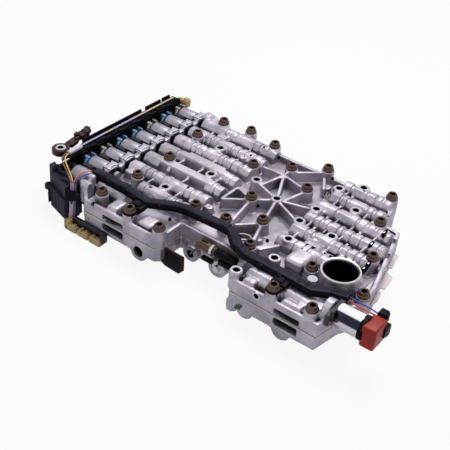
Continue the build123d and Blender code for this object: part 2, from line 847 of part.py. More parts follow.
def main():
    os.makedirs("parts", exist_ok=True)
    save("upper_casting", upper_casting())
    save("separator_plate", separator_plate())
    save("lower_casting", lower_casting())
    save("casting_bolts", casting_bolts())
    for i, y in enumerate(solenoid_rows()):
        save(f"solenoid_{i + 1}", solenoid(y))
    save("clip_rings", [clip_ring(solenoid_rows()[i]) for i in ringed_rows])
    save("solenoid_plugs", [solenoid_plug(y) for y in solenoid_rows()])
    save("end_housing", end_housing())
    save("terminal_rail", terminal_rail())
    save("contact_strip", contact_strip())
    save("wire_sleeve", wire_sleeve())
    save("harness_conduit", conduit())
    for i, y in enumerate(left_valve_rows):
        start = nose_end + seat_gap
        save(f"regulator_valve_{i + 1}", spool(start, left_valve_length, y))
        save(f"regulator_spring_{i + 1}", spring(start + left_valve_length + seat_gap, y))
    for i, (y, outer) in enumerate(right_valve_rows.items()):
        inner = outer - plug_length - seat_gap - right_valve_length
        save(f"shift_valve_{i + 1}", spool(inner, right_valve_length, y))
        save(f"shift_spring_{i + 1}", spring(inner - seat_gap - spring_length, y))
    save("end_plugs", [end_plug(outer, y) for y, outer in right_valve_rows.items()])
    save("plug_keepers", [keeper(outer, y) for y, outer in right_valve_rows.items()])
    save("manual_valve", manual_valve())
    save("right_solenoid", right_solenoid())
    save("right_solenoid_cap", solenoid_cap())
    save("solenoid_retainer", solenoid_retainer())
    save("retainer_screw", retainer_screw())
    save("right_plug", right_plug())
    save("sensor_body", sensor_body())
    save("sensor_sleeve", sensor_sleeve())
    save("sensor_clip", sensor_clip())
    save("sensor_pin", sensor_pin())
    save("shield_plate", shield_plate())
    save("port_plug", port_plug())
    save("connector_blocks", connector_blocks())
    save("connector_band", connector_band())
    save("cable_latch", cable_latch())
    save("rear_connector", rear_connector())
    save("locating_arm", locating_arm())
    save("arm_bushing", arm_bushing())
    for name, route in wire_routes.items():
        save(name, wire(name, route))
    save("flat_cable", flat_cable())


main()
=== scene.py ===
import math
import random

import bmesh
import bpy
from mathutils import Matrix, Vector
from mathutils.bvhtree import BVHTree


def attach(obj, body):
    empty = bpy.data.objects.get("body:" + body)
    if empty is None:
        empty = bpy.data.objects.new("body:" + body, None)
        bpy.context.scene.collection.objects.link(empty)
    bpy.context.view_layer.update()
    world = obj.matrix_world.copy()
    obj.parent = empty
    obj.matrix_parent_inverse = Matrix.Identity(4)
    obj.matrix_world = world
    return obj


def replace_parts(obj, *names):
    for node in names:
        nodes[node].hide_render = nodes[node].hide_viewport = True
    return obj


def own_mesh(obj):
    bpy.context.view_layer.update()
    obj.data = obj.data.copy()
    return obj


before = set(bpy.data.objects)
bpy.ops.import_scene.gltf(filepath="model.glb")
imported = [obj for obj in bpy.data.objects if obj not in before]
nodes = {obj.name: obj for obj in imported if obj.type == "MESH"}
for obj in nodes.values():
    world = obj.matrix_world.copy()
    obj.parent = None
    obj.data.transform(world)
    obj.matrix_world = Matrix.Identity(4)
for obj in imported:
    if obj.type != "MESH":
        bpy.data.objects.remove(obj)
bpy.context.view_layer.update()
root = "valve_body"
print("frame loaded,", len(nodes), "nodes")

# The layout is drawn in millimetres about a point near the middle of the deck
mm = 0.001
home = {"x": 125.0, "y": 17.0}
level = {"seat": 47.5, "axis": 38.5}


def at(x, y, z):
    return Vector(((x - home["x"]) * mm, (y - home["y"]) * mm, z * mm))


def layout(point):
    return (point[0] / mm + home["x"], point[1] / mm + home["y"], point[2] / mm)


# Camera at the photograph's angle
view = {"distance": 0.880, "lens": 70.69, "sensor": 36.0, "target": at(0, 0, 54)}
back = Vector((0.4509, -0.6725, 0.5869))
side = Vector((0.7953, 0.6012, 0.0779))
up = Vector((-0.4052, 0.4317, 0.8059))
cameraData = bpy.data.cameras.new("camera")
cameraData.sensor_width = view["sensor"]
cameraData.lens = view["lens"]
cameraData.clip_start = 0.01
camera = bpy.data.objects.new("camera", cameraData)
bpy.context.collection.objects.link(camera)
spot = view["target"] + back.normalized() * view["distance"]
turn = Matrix((side.normalized(), up.normalized(), back.normalized())).transposed()
camera.matrix_world = Matrix.Translation(spot) @ turn.to_4x4()
bpy.context.scene.camera = camera
print("camera set")


# Shader sockets with arithmetic
class Sock:
    def __init__(self, graph, link):
        self.graph = graph
        self.link = link

    def __add__(self, other):
        return self.graph.math("ADD", self, other)

    def __sub__(self, other):
        return self.graph.math("SUBTRACT", self, other)

    def __rsub__(self, other):
        return self.graph.math("SUBTRACT", other, self)

    def __mul__(self, other):
        return self.graph.math("MULTIPLY", self, other)

    def ramp(self, low, high, start=0.0, end=1.0):
        values = {"Value": self, "From Min": low, "From Max": high, "To Min": start, "To Max": end}
        return self.graph.node("ShaderNodeMapRange", {"interpolation_type": "SMOOTHSTEP"}, values)


# A node tree, with one method that makes any node and feeds its inputs
class Graph:
    def __init__(self, tree):
        self.tree = tree

    def node(self, kind, settings=None, values=None, output=0):
        made = self.tree.nodes.new(kind)
        for key, value in (settings or {}).items():
            setattr(made, key, value)
        for key, value in (values or {}).items():
            self.feed(made.inputs[key], value)
        return Sock(self, made.outputs[output])

    def feed(self, socket, value):
        if isinstance(value, Sock):
            self.tree.links.new(value.link, socket)
        elif isinstance(value, tuple) and len(value) == 3 and socket.type == "RGBA":
            socket.default_value = (*value, 1.0)
        else:
            socket.default_value = value

    def math(self, operation, first, second, clamp=False):
        settings = {"operation": operation, "use_clamp": clamp}
        return self.node("ShaderNodeMath", settings, {0: first, 1: second})

    # Whether the camera sees the surface, and whether a mirror does
    def rays(self):
        return [self.node("ShaderNodeLightPath", output=name) for name in ("Is Camera Ray", "Is Glossy Ray")]

    def show(self, shader, output):
        self.tree.links.new(shader.link, self.tree.nodes[output].inputs["Surface"])


class Paint(Graph):
    def __init__(self, name, colour, rough, metal=0.0, specular=0.5):
        self.material = bpy.data.materials.new(name)
        self.material.use_nodes = True
        super().__init__(self.material.node_tree)
        self.shader = self.tree.nodes["Principled BSDF"]
        self.set("Base Color", colour)
        self.set("Roughness", rough)
        self.set("Metallic", metal)
        self.set("Specular IOR Level", specular)

    def set(self, name, value):
        self.feed(self.shader.inputs[name], value)

    def place(self):
        return self.node("ShaderNodeTexCoord", output="Object")

    def axis(self, name):
        return self.node("ShaderNodeSeparateXYZ", values={0: self.place()}, output=name)

    def grain(self, scale, detail=3.0, stretch=None):
        where = self.place()
        if stretch:
            where = self.node("ShaderNodeMapping", values={"Vector": where, "Scale": stretch})
        values = {"Vector": where, "Scale": scale, "Detail": detail, "Roughness": 0.6}
        return self.node("ShaderNodeTexNoise", values=values)

    def mix(self, factor, first, second):
        return self.node("ShaderNodeMix", {"data_type": "RGBA"}, {0: factor, 6: first, 7: second}, 2)

    def bump(self, height, strength, distance):
        values = {"Height": height, "Strength": strength, "Distance": distance}
        self.set("Normal", self.node("ShaderNodeBump", values=values))


def shade(tone, factor):
    return tuple(min(1.0, v * factor) for v in tone)


def castMetal(name, tone):
    paint = Paint(name, tone, 0.42, metal=0.62)
    broad, mid, fine = paint.grain(40.0, 4.0), paint.grain(230.0, 4.0), paint.grain(900.0, 2.0)
    skin = paint.mix(broad.ramp(0.34, 0.66), shade(tone, 0.70), shade(tone, 1.16))
    # The floor between the ridges is painted a little darker than their tops: painted shade, with some grime
    low = paint.axis("Z").ramp(0.031, 0.045)
    speck = mid.ramp(0.60, 0.72)
    skin = paint.mix(speck * 0.35, skin, shade(tone, 0.45))
    # Painted shade: the colour darkens where the shelter attribute is high, in the crevices
    shelterShade = paint.node("ShaderNodeAttribute", {"attribute_name": "shelter"}, output="Fac")
    skin = paint.mix(shelterShade.ramp(0.14, 0.76) * 0.92, skin, shade(tone, 0.13))
    paint.set("Base Color", paint.mix(low, paint.mix(0.06, skin, shade(tone, 0.35)), skin))
    paint.set("Roughness", mid.ramp(0.3, 0.7, 0.34, 0.54))
    paint.bump(fine * 0.5 + mid * 0.9, 0.36, 0.0007)
    return paint.material


def brushedMetal(name, tone, rough, metal=1.0, stretch=(1, 1, 1)):
    paint = Paint(name, tone, rough, metal=metal)
    lines = paint.grain(600.0, 3.0, stretch=stretch)
    cloud = paint.grain(70.0, 2.0)
    worn = paint.mix(cloud.ramp(0.35, 0.7), shade(tone, 0.80), tone)
    paint.set("Base Color", paint.mix(lines.ramp(0.3, 0.7) * 0.5, worn, shade(tone, 0.78)))
    paint.set("Roughness", lines.ramp(0.3, 0.7, rough * 0.8, rough * 1.25))
    paint.bump(lines, 0.08, 0.0002)
    return paint.material


def mouldedPlastic(name, tone, rough, speckle=0.25, specular=0.5):
    paint = Paint(name, tone, rough, specular=specular)
    cloud, fine = paint.grain(60.0, 3.0), paint.grain(1400.0, 2.0)
    low, high = shade(tone, 1 - speckle), shade(tone, 1 + speckle)
    paint.set("Base Color", paint.mix(cloud.ramp(0.3, 0.7), low, high))
    paint.set("Roughness", cloud.ramp(0.3, 0.7, rough * 0.85, min(1.0, rough * 1.2)))
    paint.bump(fine, 0.12, 0.0002)
    return paint.material


# A plated can with painted reflections: a bright top, a dark band along its side and a grey underside
def canWithPaintedReflection(name):
    paint = Paint(name, (0.8, 0.8, 0.84), 0.16, metal=0.9)
    # Painted reflection bands, set by the height and side on the can
    out = (0.046 - paint.axis("Z")) - (paint.axis("Y") + 0.046) * 0.9
    band = paint.mix(out.ramp(-0.0056, -0.0034), (0.88, 0.88, 0.92), (0.020, 0.022, 0.040))
    paint.set("Base Color", paint.mix(out.ramp(0.0062, 0.0085), band, (0.60, 0.60, 0.65)))
    paint.bump(paint.grain(500.0, 2.0, stretch=(0.1, 1, 1)), 0.05, 0.0001)
    return paint.material


# The contact strip: lavender, with cream stretches
def stripPlastic(name):
    paint = Paint(name, (0.42, 0.42, 0.66), 0.4)
    y = paint.axis("Y")
    first = y.ramp(0.030, 0.032) * y.ramp(0.046, 0.048, 1.0, 0.0)
    second = y.ramp(0.078, 0.080)
    broken = paint.grain(120.0, 2.0).ramp(0.45, 0.55)
    cream = paint.mix(broken * 0.6, (0.58, 0.46, 0.28), (0.36, 0.33, 0.40))
    paint.set("Base Color", paint.mix(first + second, (0.40, 0.38, 0.62), cream))
    paint.bump(paint.grain(900.0, 2.0), 0.1, 0.0002)
    return paint.material


# Colour, roughness, metal and the grain's stretch
metals = {
    "machined": ((0.62, 0.58, 0.66), 0.30, 0.8),
    "pad": ((0.58, 0.55, 0.64), 0.34, 0.6),
    "plate": ((0.74, 0.66, 0.64), 0.40, 0.3),
    "bolt": ((0.030, 0.024, 0.018), 0.40, 0.7),
    "boltTop": ((0.115, 0.075, 0.056), 0.34, 0.8),
    "can": ((0.37, 0.35, 0.41), 0.42, 0.55, (0.1, 1, 1)),
    "bright": ((0.62, 0.61, 0.64), 0.22),
    "spring": ((0.45, 0.45, 0.46), 0.35),
    "valve": ((0.50, 0.48, 0.45), 0.30),
}
# Colour, roughness, unevenness of the colour and gloss
plastics = {
    # Near-black for painted shadow in holes, slots and sockets
    "hollow": ((0.004, 0.003, 0.004), 0.9, 0.25, 0.04),
    "recess": ((0.016, 0.012, 0.013), 0.8, 0.5, 0.05),
    "black": ((0.004, 0.004, 0.006), 0.42, 0.25, 0.07),
    "box": ((0.036, 0.032, 0.048), 0.50, 0.15, 0.07),
    "conduit": ((0.0045, 0.004, 0.008), 0.40, 0.25, 0.06),
    # The conduit's black, painted lighter as sheen on its top
    "conduitTop": ((0.016, 0.015, 0.027), 0.36, 0.25, 0.08),
    "nub": ((0.045, 0.040, 0.052), 0.45, 0.25, 0.3),
    "navy": ((0.020, 0.018, 0.032), 0.4, 0.25, 0.3),
    "cream": ((0.46, 0.335, 0.145), 0.45, 0.3),
    "white": ((0.66, 0.63, 0.72), 0.4, 0.08),
    "blue": ((0.16, 0.42, 0.72), 0.32),
    "ivory": ((0.50, 0.50, 0.44), 0.35, 0.1),
    "brown": ((0.030, 0.010, 0.008), 0.34, 0.4, 0.22),
    "sensor": ((0.110, 0.060, 0.030), 0.36, 0.35, 0.3),
    "shield": ((0.010, 0.009, 0.013), 0.55, 0.25, 0.06),
    "shieldEdge": ((0.030, 0.011, 0.008), 0.55, 0.25, 0.1),
    "red": ((0.36, 0.022, 0.012), 0.38, 0.10, 0.25),
    "flap": ((0.80, 0.72, 0.74), 0.7, 0.06),
    "dab": ((0.010, 0.100, 0.060), 0.35),
}
finish = {
    "cast": castMetal("cast", (0.480, 0.440, 0.505)),
    "chrome": canWithPaintedReflection("chrome"),
    "strip": stripPlastic("strip"),
}
finish.update({key: brushedMetal(key, *row) for key, row in metals.items()})
finish.update({key: mouldedPlastic(key, *row) for key, row in plastics.items()})
wireTones = {
    "yellow": (0.78, 0.56, 0.10), "brown": (0.22, 0.09, 0.10), "orange": (0.85, 0.17, 0.07),
    "red": (0.60, 0.08, 0.03), "blue": (0.02, 0.07, 0.42), "lilac": (0.62, 0.55, 0.76),
    "rose": (0.70, 0.44, 0.56), "grey": (0.16, 0.16, 0.24),
}
for name, tone in wireTones.items():
    finish[f"{name}Wire"] = mouldedPlastic(f"{name}Wire", tone, 0.35, 0.1)
print("finishes made")

# Wires: the routes' corner points, which the smooth line passes inside
wire = {"radius": 0.8, "smooth": 10, "round": 4}
wireRoutes = {
    "yellow_wire": ("yellowWire", 46.0, [
        (-203, -14.1, 56.1), (-201.5, -22.2, 56.6), (-191.5, -30, 55.2), (-177.5, -36.8, 51.8),
        (-170.7, -41, 46.6)]),
    "brown_wire": ("brownWire", 47.7, [
        (-204.9, -14.1, 56.1), (-204.6, -22.7, 56.5), (-196, -30.6, 54.9), (-180.5, -37.6, 51.2),
        (-172.1, -41.9, 46.6)]),
    "orange_wire": ("orangeWire", None, [
        (-169.3, -40, 46.6), (-171.5, -34, 51.5), (-169.5, -24, 52.5), (-163.75, -16.5, 51.5)]),
    "blue_wire": ("blueWire", None, [
        (-167.9, -39.1, 46.6), (-168.5, -33, 49.5), (-167.5, -25, 50.5), (-163.85, -18.5, 49.5)]),
    "motor_blue_wire": ("blueWire", 33.8, [
        (149.85, -7.2, 51), (157.5, -9.6, 52.6), (171, -10.4, 53.6), (182.7, -13.6, 54.6)]),
    "motor_red_wire": ("redWire", 33.2, [
        (150.5, -9.6, 49.6), (160.5, -13.6, 50.4), (173.5, -14.2, 52.2), (182.7, -15.6, 53)]),
}


def wireLine(name, points, radius, tone):
    curve = bpy.data.curves.new(name, "CURVE")
    curve.dimensions = "3D"
    spline = curve.splines.new("NURBS")
    spline.points.add(len(points) - 1)
    for point, corner in zip(spline.points, points):
        point.co = (*at(*corner), 1.0)
    spline.order_u = 3
    spline.use_endpoint_u = True
    spline.resolution_u = wire["smooth"]
    curve.bevel_depth = radius * mm
    curve.bevel_resolution = wire["round"]
    curve.use_fill_caps = True
    piece = bpy.data.objects.new(name, curve)
    bpy.context.collection.objects.link(piece)
    curve.materials.append(finish[tone])
    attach(piece, root)
    return piece


for name, (tone, length, points) in wireRoutes.items():
    piece = wireLine(name + "_line", points, wire["radius"], tone)
    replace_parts(piece, name)
    if length:
        at(*points[0])
        length * mm

# Flat cable: five thin wires side by side, drawn by distance along its heading and height
flat = {
    "start": (-170.0, -40.5), "heading": (0.55, -0.835), "across": (0.835, 0.55), "pitch": 1.3, "radius": 0.72,
    "route": [(0, 45.6), (2.9, 38.2), (5.3, 27.5), (8.6, 17.5), (13.4, 8.45)],
    "tones": ["lilacWire", "roseWire", "lilacWire", "greyWire", "greyWire"],
}
for i, tone in enumerate(flat["tones"]):
    shift = (i - 2) * flat["pitch"]
    points = [
        (flat["start"][0] + along * flat["heading"][0] + shift * flat["across"][0],
         flat["start"][1] + along * flat["heading"][1] + shift * flat["across"][1], z)
        for along, z in flat["route"]
    ]
    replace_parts(wireLine(f"flatStrand_{i + 1}", points, flat["radius"], tone), "flat_cable")
print("wires laid")


# Mesh helpers, all in layout millimetres
def newMeshes(count):
    return [bmesh.new() for i in range(count)]


def roundEdges(bm, edges, radius, segments=2):
    bmesh.ops.bevel(bm, geom=list(edges), offset=radius * mm, segments=segments, profile=0.5,
                    affect="EDGES", material=-1)


def addBox(bm, x0, x1, y0, y1, z0, z1, round=0.0, segments=2):
    middle = at((x0 + x1) / 2, (y0 + y1) / 2, (z0 + z1) / 2)
    scale = Matrix.Diagonal(((x1 - x0) * mm, (y1 - y0) * mm, (z1 - z0) * mm, 1.0))
    made = bmesh.ops.create_cube(bm, size=1.0, matrix=Matrix.Translation(middle) @ scale)
    if round:
        roundEdges(bm, {e for v in made["verts"] for e in v.link_edges}, round, segments)


# Rows of both ends along X, Y and Z, the rounding and its steps, all about the point (x, y)
def addBoxes(bm, rows, x=0, y=0):
    for x0, x1, y0, y1, *rest in rows:
        addBox(bm, x + x0, x + x1, y + y0, y + y1, *rest)


# A flat outline pushed along one way, with its far edges rounded and its side edges too if asked for
def addSlab(bm, corners, push, round=0.0, segments=2, sides=False):
    face = bm.faces.new([bm.verts.new(at(*corner)) for corner in corners])
    made = bmesh.ops.extrude_face_region(bm, geom=[face])["geom"]
    far = {v for v in made if isinstance(v, bmesh.types.BMVert)}
    bmesh.ops.translate(bm, verts=list(far), vec=Vector(push) * mm)
    if round:
        edges = {e for v in far for e in v.link_edges if sides or e.other_vert(v) in far}
        roundEdges(bm, edges, round, segments)


def addRod(bm, start, end, radius, sides=32, tip=None):
    a, b = at(*start), at(*end)
    turn = (b - a).to_track_quat("Z", "Y").to_matrix().to_4x4()
    bmesh.ops.create_cone(bm, cap_ends=True, cap_tris=False, segments=sides, radius1=radius * mm,
                          radius2=(radius if tip is None else tip) * mm, depth=(b - a).length,
                          matrix=Matrix.Translation((a + b) / 2) @ turn)


# The profile is a list of (distance along the axis, radius)
def addLathe(bm, centre, axis, profile, sides=40):
    spine = {"x": Vector((1, 0, 0)), "y": Vector((0, 1, 0)), "z": Vector((0, 0, 1))}[axis]
    out = Vector((1, 0, 0)) if axis == "z" else Vector((0, 0, 1))
    c = at(*centre)
    verts = [bm.verts.new(c + spine * along * mm + out * radius * mm) for along, radius in profile]
    edges = [bm.edges.new(pair) for pair in zip(verts, verts[1:])]
    bmesh.ops.spin(bm, geom=verts + edges, cent=c, axis=spine, angle=math.tau, steps=sides, use_merge=True)
    near = list({v for f in bm.faces for v in f.verts})
    bmesh.ops.remove_doubles(bm, verts=near, dist=1e-7)


# A closed outline of (distance along X, radius) swept part of the way round
def addArc(bm, centre, outline, start, sweep, steps):
    spine = Vector((1, 0, 0))
    c = at(*centre)
    lean = Matrix.Rotation(start, 3, spine)
    ring = [bm.verts.new(c + spine * a * mm + lean @ Vector((0, 0, r * mm))) for a, r in outline]
    face = bm.faces.new(ring)
    bmesh.ops.spin(bm, geom=[face] + list(face.edges) + ring, cent=c, axis=spine, angle=sweep, steps=steps)


def closed(profile):
    return profile + profile[:1]


# Profile of a thin cup, from the middle of its floor up the wall and back
def cup(floor, mouth, radius, wall, thick):
    inside, base = radius - wall, floor + thick
    return [(floor, 0), (floor, radius), (mouth, radius), (mouth, inside), (base, inside), (base, 0)]


def toPiece(bm, name, material, smooth=35):
    bmesh.ops.recalc_face_normals(bm, faces=bm.faces)
    mesh = bpy.data.meshes.new(name)
    bm.to_mesh(mesh)
    bm.free()
    piece = bpy.data.objects.new(name, mesh)
    bpy.context.collection.objects.link(piece)
    mesh.materials.append(material)
    for face in mesh.polygons:
        face.use_smooth = True
    mesh.set_sharp_from_angle(angle=math.radians(smooth))
    return piece


def ride(piece, *replaced, slot):
    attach(piece, root)
    if replaced:
        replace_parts(piece, *replaced)


def makePiece(bm, name, tone, slot, *replaced, smooth=35):
    piece = toPiece(bm, name, finish[tone], smooth)
    ride(piece, *replaced, slot=slot)
    return piece


def applyModifiers(piece):
    depsgraph = bpy.context.evaluated_depsgraph_get()
    mesh = bpy.data.meshes.new_from_object(piece.evaluated_get(depsgraph))
    old = piece.data
    piece.modifiers.clear()
    piece.data = mesh
    bpy.data.meshes.remove(old)


# Low and high corners of each separate solid of a node
def islands(name):
    bm = bmesh.new()
    bm.from_mesh(nodes[name].data)
    bmesh.ops.remove_doubles(bm, verts=bm.verts, dist=1e-6)
    left, boxes = set(bm.verts), []
    while left:
        group, edge = [], [left.pop()]
        while edge:
            v = edge.pop()
            group.append(v.co)
            near = {e.other_vert(v) for e in v.link_edges} & left
            left -= near
            edge += near
        boxes.append([layout([pick(co[i] for co in group) for i in range(3)]) for pick in (min, max)])
    bm.free()
    return boxes


# Castings: the frame's solid with rounded ridges and lumps, fused and softened like a sand casting
cast = {"voxel": 0.85, "soften": 3, "triangles": 170000, "sharp": 42}


def fuse(name, nodeName, shells, voxel):
    bm = bmesh.new()
    bm.from_mesh(nodes[nodeName].data)
    bmesh.ops.remove_doubles(bm, verts=bm.verts, dist=1e-6)
    for shell in shells:
        shell(bm)
    piece = toPiece(bm, name, finish["cast"])
    remesh = piece.modifiers.new("fuse", "REMESH")
    remesh.mode = "VOXEL"
    remesh.voxel_size = voxel * mm
    soften = piece.modifiers.new("soften", "SMOOTH")
    soften.factor = 0.5
    soften.iterations = cast["soften"]
    applyModifiers(piece)
    count = sum(len(f.vertices) - 2 for f in piece.data.polygons)
    if count > cast["triangles"]:
        thin = piece.modifiers.new("thin", "DECIMATE")
        thin.ratio = cast["triangles"] / count
        applyModifiers(piece)
    print(name, "fused,", len(piece.data.polygons), "faces from", count)
    return piece


def cut(piece, cutters):
    bm = bmesh.new()
    for cutter in cutters:
        cutter(bm)
    tool = toPiece(bm, piece.name + "_tool", finish["cast"])
    modifier = piece.modifiers.new("cut", "BOOLEAN")
    modifier.operation = "DIFFERENCE"
    modifier.solver = "MANIFOLD"
    modifier.object = tool
    applyModifiers(piece)
    bpy.data.objects.remove(tool)
    for face in piece.data.polygons:
        face.use_smooth = True
    piece.data.set_sharp_from_angle(angle=math.radians(cast["sharp"]))


# How far each point of a casting lies in the shelter of its neighbours; the casting's colour is darkened there
# as painted shade in the crevices
shelter = {"rays": 9, "reach": 13.0, "lift": 0.4, "rounds": 2, "spread": 0.96, "turn": 2.39996}


def paintShelterShade(piece):
    mesh = piece.data
    tree = BVHTree.FromPolygons([v.co for v in mesh.vertices], [tuple(p.vertices) for p in mesh.polygons])
    rays = []
    for i in range(shelter["rays"]):
        lean = math.asin(math.sqrt((i + 0.5) / shelter["rays"]) * shelter["spread"])
        turn = i * shelter["turn"]
        rays.append((math.sin(lean) * math.cos(turn), math.sin(lean) * math.sin(turn), math.cos(lean)))
    reach, lift = shelter["reach"] * mm, shelter["lift"] * mm
    values = []
    for v in mesh.vertices:
        n = v.normal
        side = n.orthogonal().normalized()
        cross = n.cross(side)
        start = v.co + n * lift
        total = 0.0
        for a, b, c in rays:
            far = tree.ray_cast(start, side * a + cross * b + n * c, reach)[3]
            if far is not None:
                total += 1.0 - 0.5 * far / reach
        values.append(total / len(rays))
    pairs = [tuple(e.vertices) for e in mesh.edges]
    for step in range(shelter["rounds"]):
        sums, counts = values[:], [1] * len(values)
        for a, b in pairs:
            sums[a] += values[b]
            sums[b] += values[a]
            counts[a] += 1
            counts[b] += 1
        values = [s / c for s, c in zip(sums, counts)]
    mesh.attributes.new("shelter", "FLOAT", "POINT").data.foreach_set("value", values)
    print(piece.name, "sheltered", round(sum(values) / len(values), 3))


# Bolts of the frame, and the open holes for the bolts that hold the part to its case
headHeight = 6.5
boltSpots = []
for low, high in islands("casting_bolts"):
    boltSpots.append(((low[0] + high[0]) / 2, (low[1] + high[1]) / 2, high[2] - headHeight, low[2]))
caseHoles = [
    (-99.6, 124), (-73.6, 73), (-93.6, 19), (-30.6, 99), (6.4, 84), (48, 97), (46.4, 67), (55.4, 33),
    (62.4, -2), (80.4, 124), (85.4, 67), (45.4, 148), (46, -42), (65, 168),
]
smallHoles = [
    (-77.9, 113.4), (-74.9, 35.4), (-103.9, 7.4), (-63.9, 161.4), (-40.9, 157.4), (68.6, 162.4),
    (28, 163), (-64.4, 135.4), (40.1, 18.4), (-53.9, -20.6), (-1.9, 61.4),
]
deck = {
    "rows": [8 + 26 * i for i in range(7)], "left": (-154, -46), "right": 44,
    "rightEnds": (104, 138, 138, 130, 108, 104), "low": 7.8, "seed": 11, "grooveOut": 10.4,
    "flats": {60: (-136, -62), 86: (-121, -65)}, "boss": 7.2, "caseBoss": 6.6, "hole": 3.8,
}
dice = random.Random(deck["seed"])
grooves = []


def nearBoss(x, y):
    spots = [(b[0], b[1]) for b in boltSpots] + caseHoles
    return any(abs(x - bx) < 8.5 and abs(y - by) < 16 for bx, by in spots)


# Bulges of uneven width over a valve bore, with a dome at the end that faces the solenoids
def ridgeShell(y, x0, x1, dome):
    profile = [(0, 0), (0.4, 3.5), (1.8, 6.3), (4.0, 8.6), (6.5, 9.5), (11.5, 9.5), (13, 8.2)]
    if not dome:
        profile = [(0, 0), (0, 6.5), (0.8, 8.0)]
    x = profile[-1][0] + 0.8
    while x < x1 - x0 - 8:
        width, high = dice.uniform(4.6, 10.8), dice.uniform(8.6, 9.75)
        profile += [(x, deck["low"]), (x + 0.6, high - 0.6), (x + 1.5, high), (x + width - 1.5, high),
                    (x + width - 0.6, high - 0.6), (x + width, deck["low"])]
        gap = dice.uniform(0.9, 3.0)
        if not nearBoss(x0 + x + width + gap / 2, y):
            grooves.append((x0 + x + width, gap, y))
        x += width + gap
    profile += [(x1 - x0 - 0.8, 7.8), (x1 - x0, 6.5), (x1 - x0, 0)]
    profile = [p for p in profile if p[0] <= x1 - x0]

    def shell(bm):
        addLathe(bm, (x0, y, level["axis"]), "x", profile, 32)
    return shell


def smoothRidge(bm):
    profile = [(0, 0), (0, 6.5), (1.6, 8.4), (34, 8.8), (52, 8.2), (84, 8.6), (86, 6.5), (86, 0)]
    addLathe(bm, (52, -31, 37.4), "x", profile, 32)


def ridgeShells():
    shells = [ridgeShell(8, -118, -54, False), smoothRidge]
    for i, y in enumerate(deck["rows"][1:]):
        flatBar = deck["flats"].get(y)
        if flatBar:
            shells.append(ridgeShell(y, deck["left"][0], flatBar[0], True))
            shells.append(ridgeShell(y, flatBar[1], deck["left"][1], False))
        else:
            shells.append(ridgeShell(y, *deck["left"], True))
        shells.append(ridgeShell(y, deck["right"], deck["rightEnds"][i], False))
    return shells


def bossShell(bm):
    for x, y, seat, low in boltSpots:
        addRod(bm, (x, y, 27), (x, y, level["seat"] - 0.02), deck["boss"] + 0.4, 32, deck["boss"])
    for x, y in caseHoles:
        addRod(bm, (x, y, 27), (x, y, level["seat"] - 0.02), deck["caseBoss"] + 0.3, 32, deck["caseBoss"])


# Cross walls, lugs and blocks that stand between the ridges
webs = {
    "walls": [
        (-118.4, -115.6, 66, 82), (-91.4, -88.6, 40, 82), (-66, -63, 66, 82), (-92, -89.4, 95, 103),
        (-132, -129, 104, 152), (-106, -103.5, 120, 132), (-58, -55.4, 30, 42), (-118, -115.5, 14, 27),
        (53, 55.6, 42, 160), (90, 92.6, 42, 130), (117, 119.6, 60, 120), (72, 74, 70, 104),
        (-80, -77.5, 14, 26),
    ],
    "top": 44.0,
    "blocks": [
        (-164.6, -160.6, -37.5, -31.5, 26, 50.0, 1.8), (-160.2, -152.5, -38, -29.5, 26, 50.5, 2.2),
        (-162.5, -153.5, -28.8, -21.4, 30, 54.0, 2.8), (-152, -139, -24, -12, 33, 44, 3),
        (-118, -104, -46, -26, 33, 45, 3), (-78, -60, -44, -26, 33, 44, 3), (100, 122, -47, -38, 33, 44, 3),
        (56, 70, -47, -36, 33, 45, 3), (134, 143, -10, 2, 30, 44, 3), (146, 154, 16, 50, 26, 39, 2),
        (67, 90, 5, 52, 33, 46.8, 6), (92, 104, 30, 46, 33, 44, 3), (104, 118, 40, 52, 33, 44, 3),
        (-152, -140, 18, 26, 33, 43, 2), (-164, -141, 166, 177, 28, 46, 4),
        (-161, -148, 164, 180, 30, 50.5, 4.5), (-124, -110, 148, 158, 33, 44, 2),
        (40, 52, 108, 116, 33, 43, 2), (66, 78, 48, 56, 33, 45, 2),
    ],
    "lumps": [
        (-152, -5, 40, 7), (-140, 0, 38, 6), (-112, -30, 40, 6), (-60, 24, 40, 6), (28, 22, 36, 5),
        (-24, 130, 36, 5), (74, 28, 41, 6), (104, 30, 40, 7), (118, 52, 40, 6), (-104, 46, 40, 5),
        (-42, 30, 38, 6), (-150, 176, 42, 9), (30, 150, 38, 6), (-72, 130, 42, 5), (118, -38, 41, 5),
    ],
}


def webShell(bm):
    for x0, x1, y0, y1 in webs["walls"]:
        addBox(bm, x0, x1, y0, y1, 31, webs["top"], 0.8, 1)
    for x0, x1, y0, y1, z0, z1, r in webs["blocks"]:
        addBox(bm, x0, x1, y0, y1, z0, z1, r, 3)
    addLathe(bm, (16, 11, 0), "z", [(32, 7.9), (39.4, 7.9), (39.4, 9.9), (32, 9.9), (32, 7.9)], 36)
    addRod(bm, (9.5, 5.5, 37.4), (22.5, 16.5, 37.4), 1.5, 12)
    for x, y, z, r in webs["lumps"]:
        addRod(bm, (x, y, 31), (x, y, z + 3), r, 20, r * 0.72)


pockets = [
    (-115.2, -91.8, 67.2, 81.2), (-88.2, -81.5, 67.2, 81.2), (-131, -118.8, 44, 54.6),
    (-115.2, -91.8, 44, 54.6), (-88.2, -66.5, 44, 54.6), (-115.5, -93, 94.4, 102), (-88.5, -71, 94.4, 102),
    (-62, -57.5, 66, 78),
]


def deckCuts(bm):
    for x, y in caseHoles:
        addRod(bm, (x, y, 27 if (x, y) == (6.4, 84) else 20), (x, y, 52), deck["hole"], 28)
    for x, y in smallHoles:
        addRod(bm, (x, y, 43.8), (x, y, 52), 1.7, 12)
    for x0, x1, y0, y1 in pockets:
        addBox(bm, x0, x1, y0, y1, 35.5, 60)
    addRod(bm, (76, -51, 36.8), (76, -46, 36.8), 3.0, 20)
    addBox(bm, -135.6, -131.4, -51, -46.2, 37.0, 41.4, 0.6, 2)


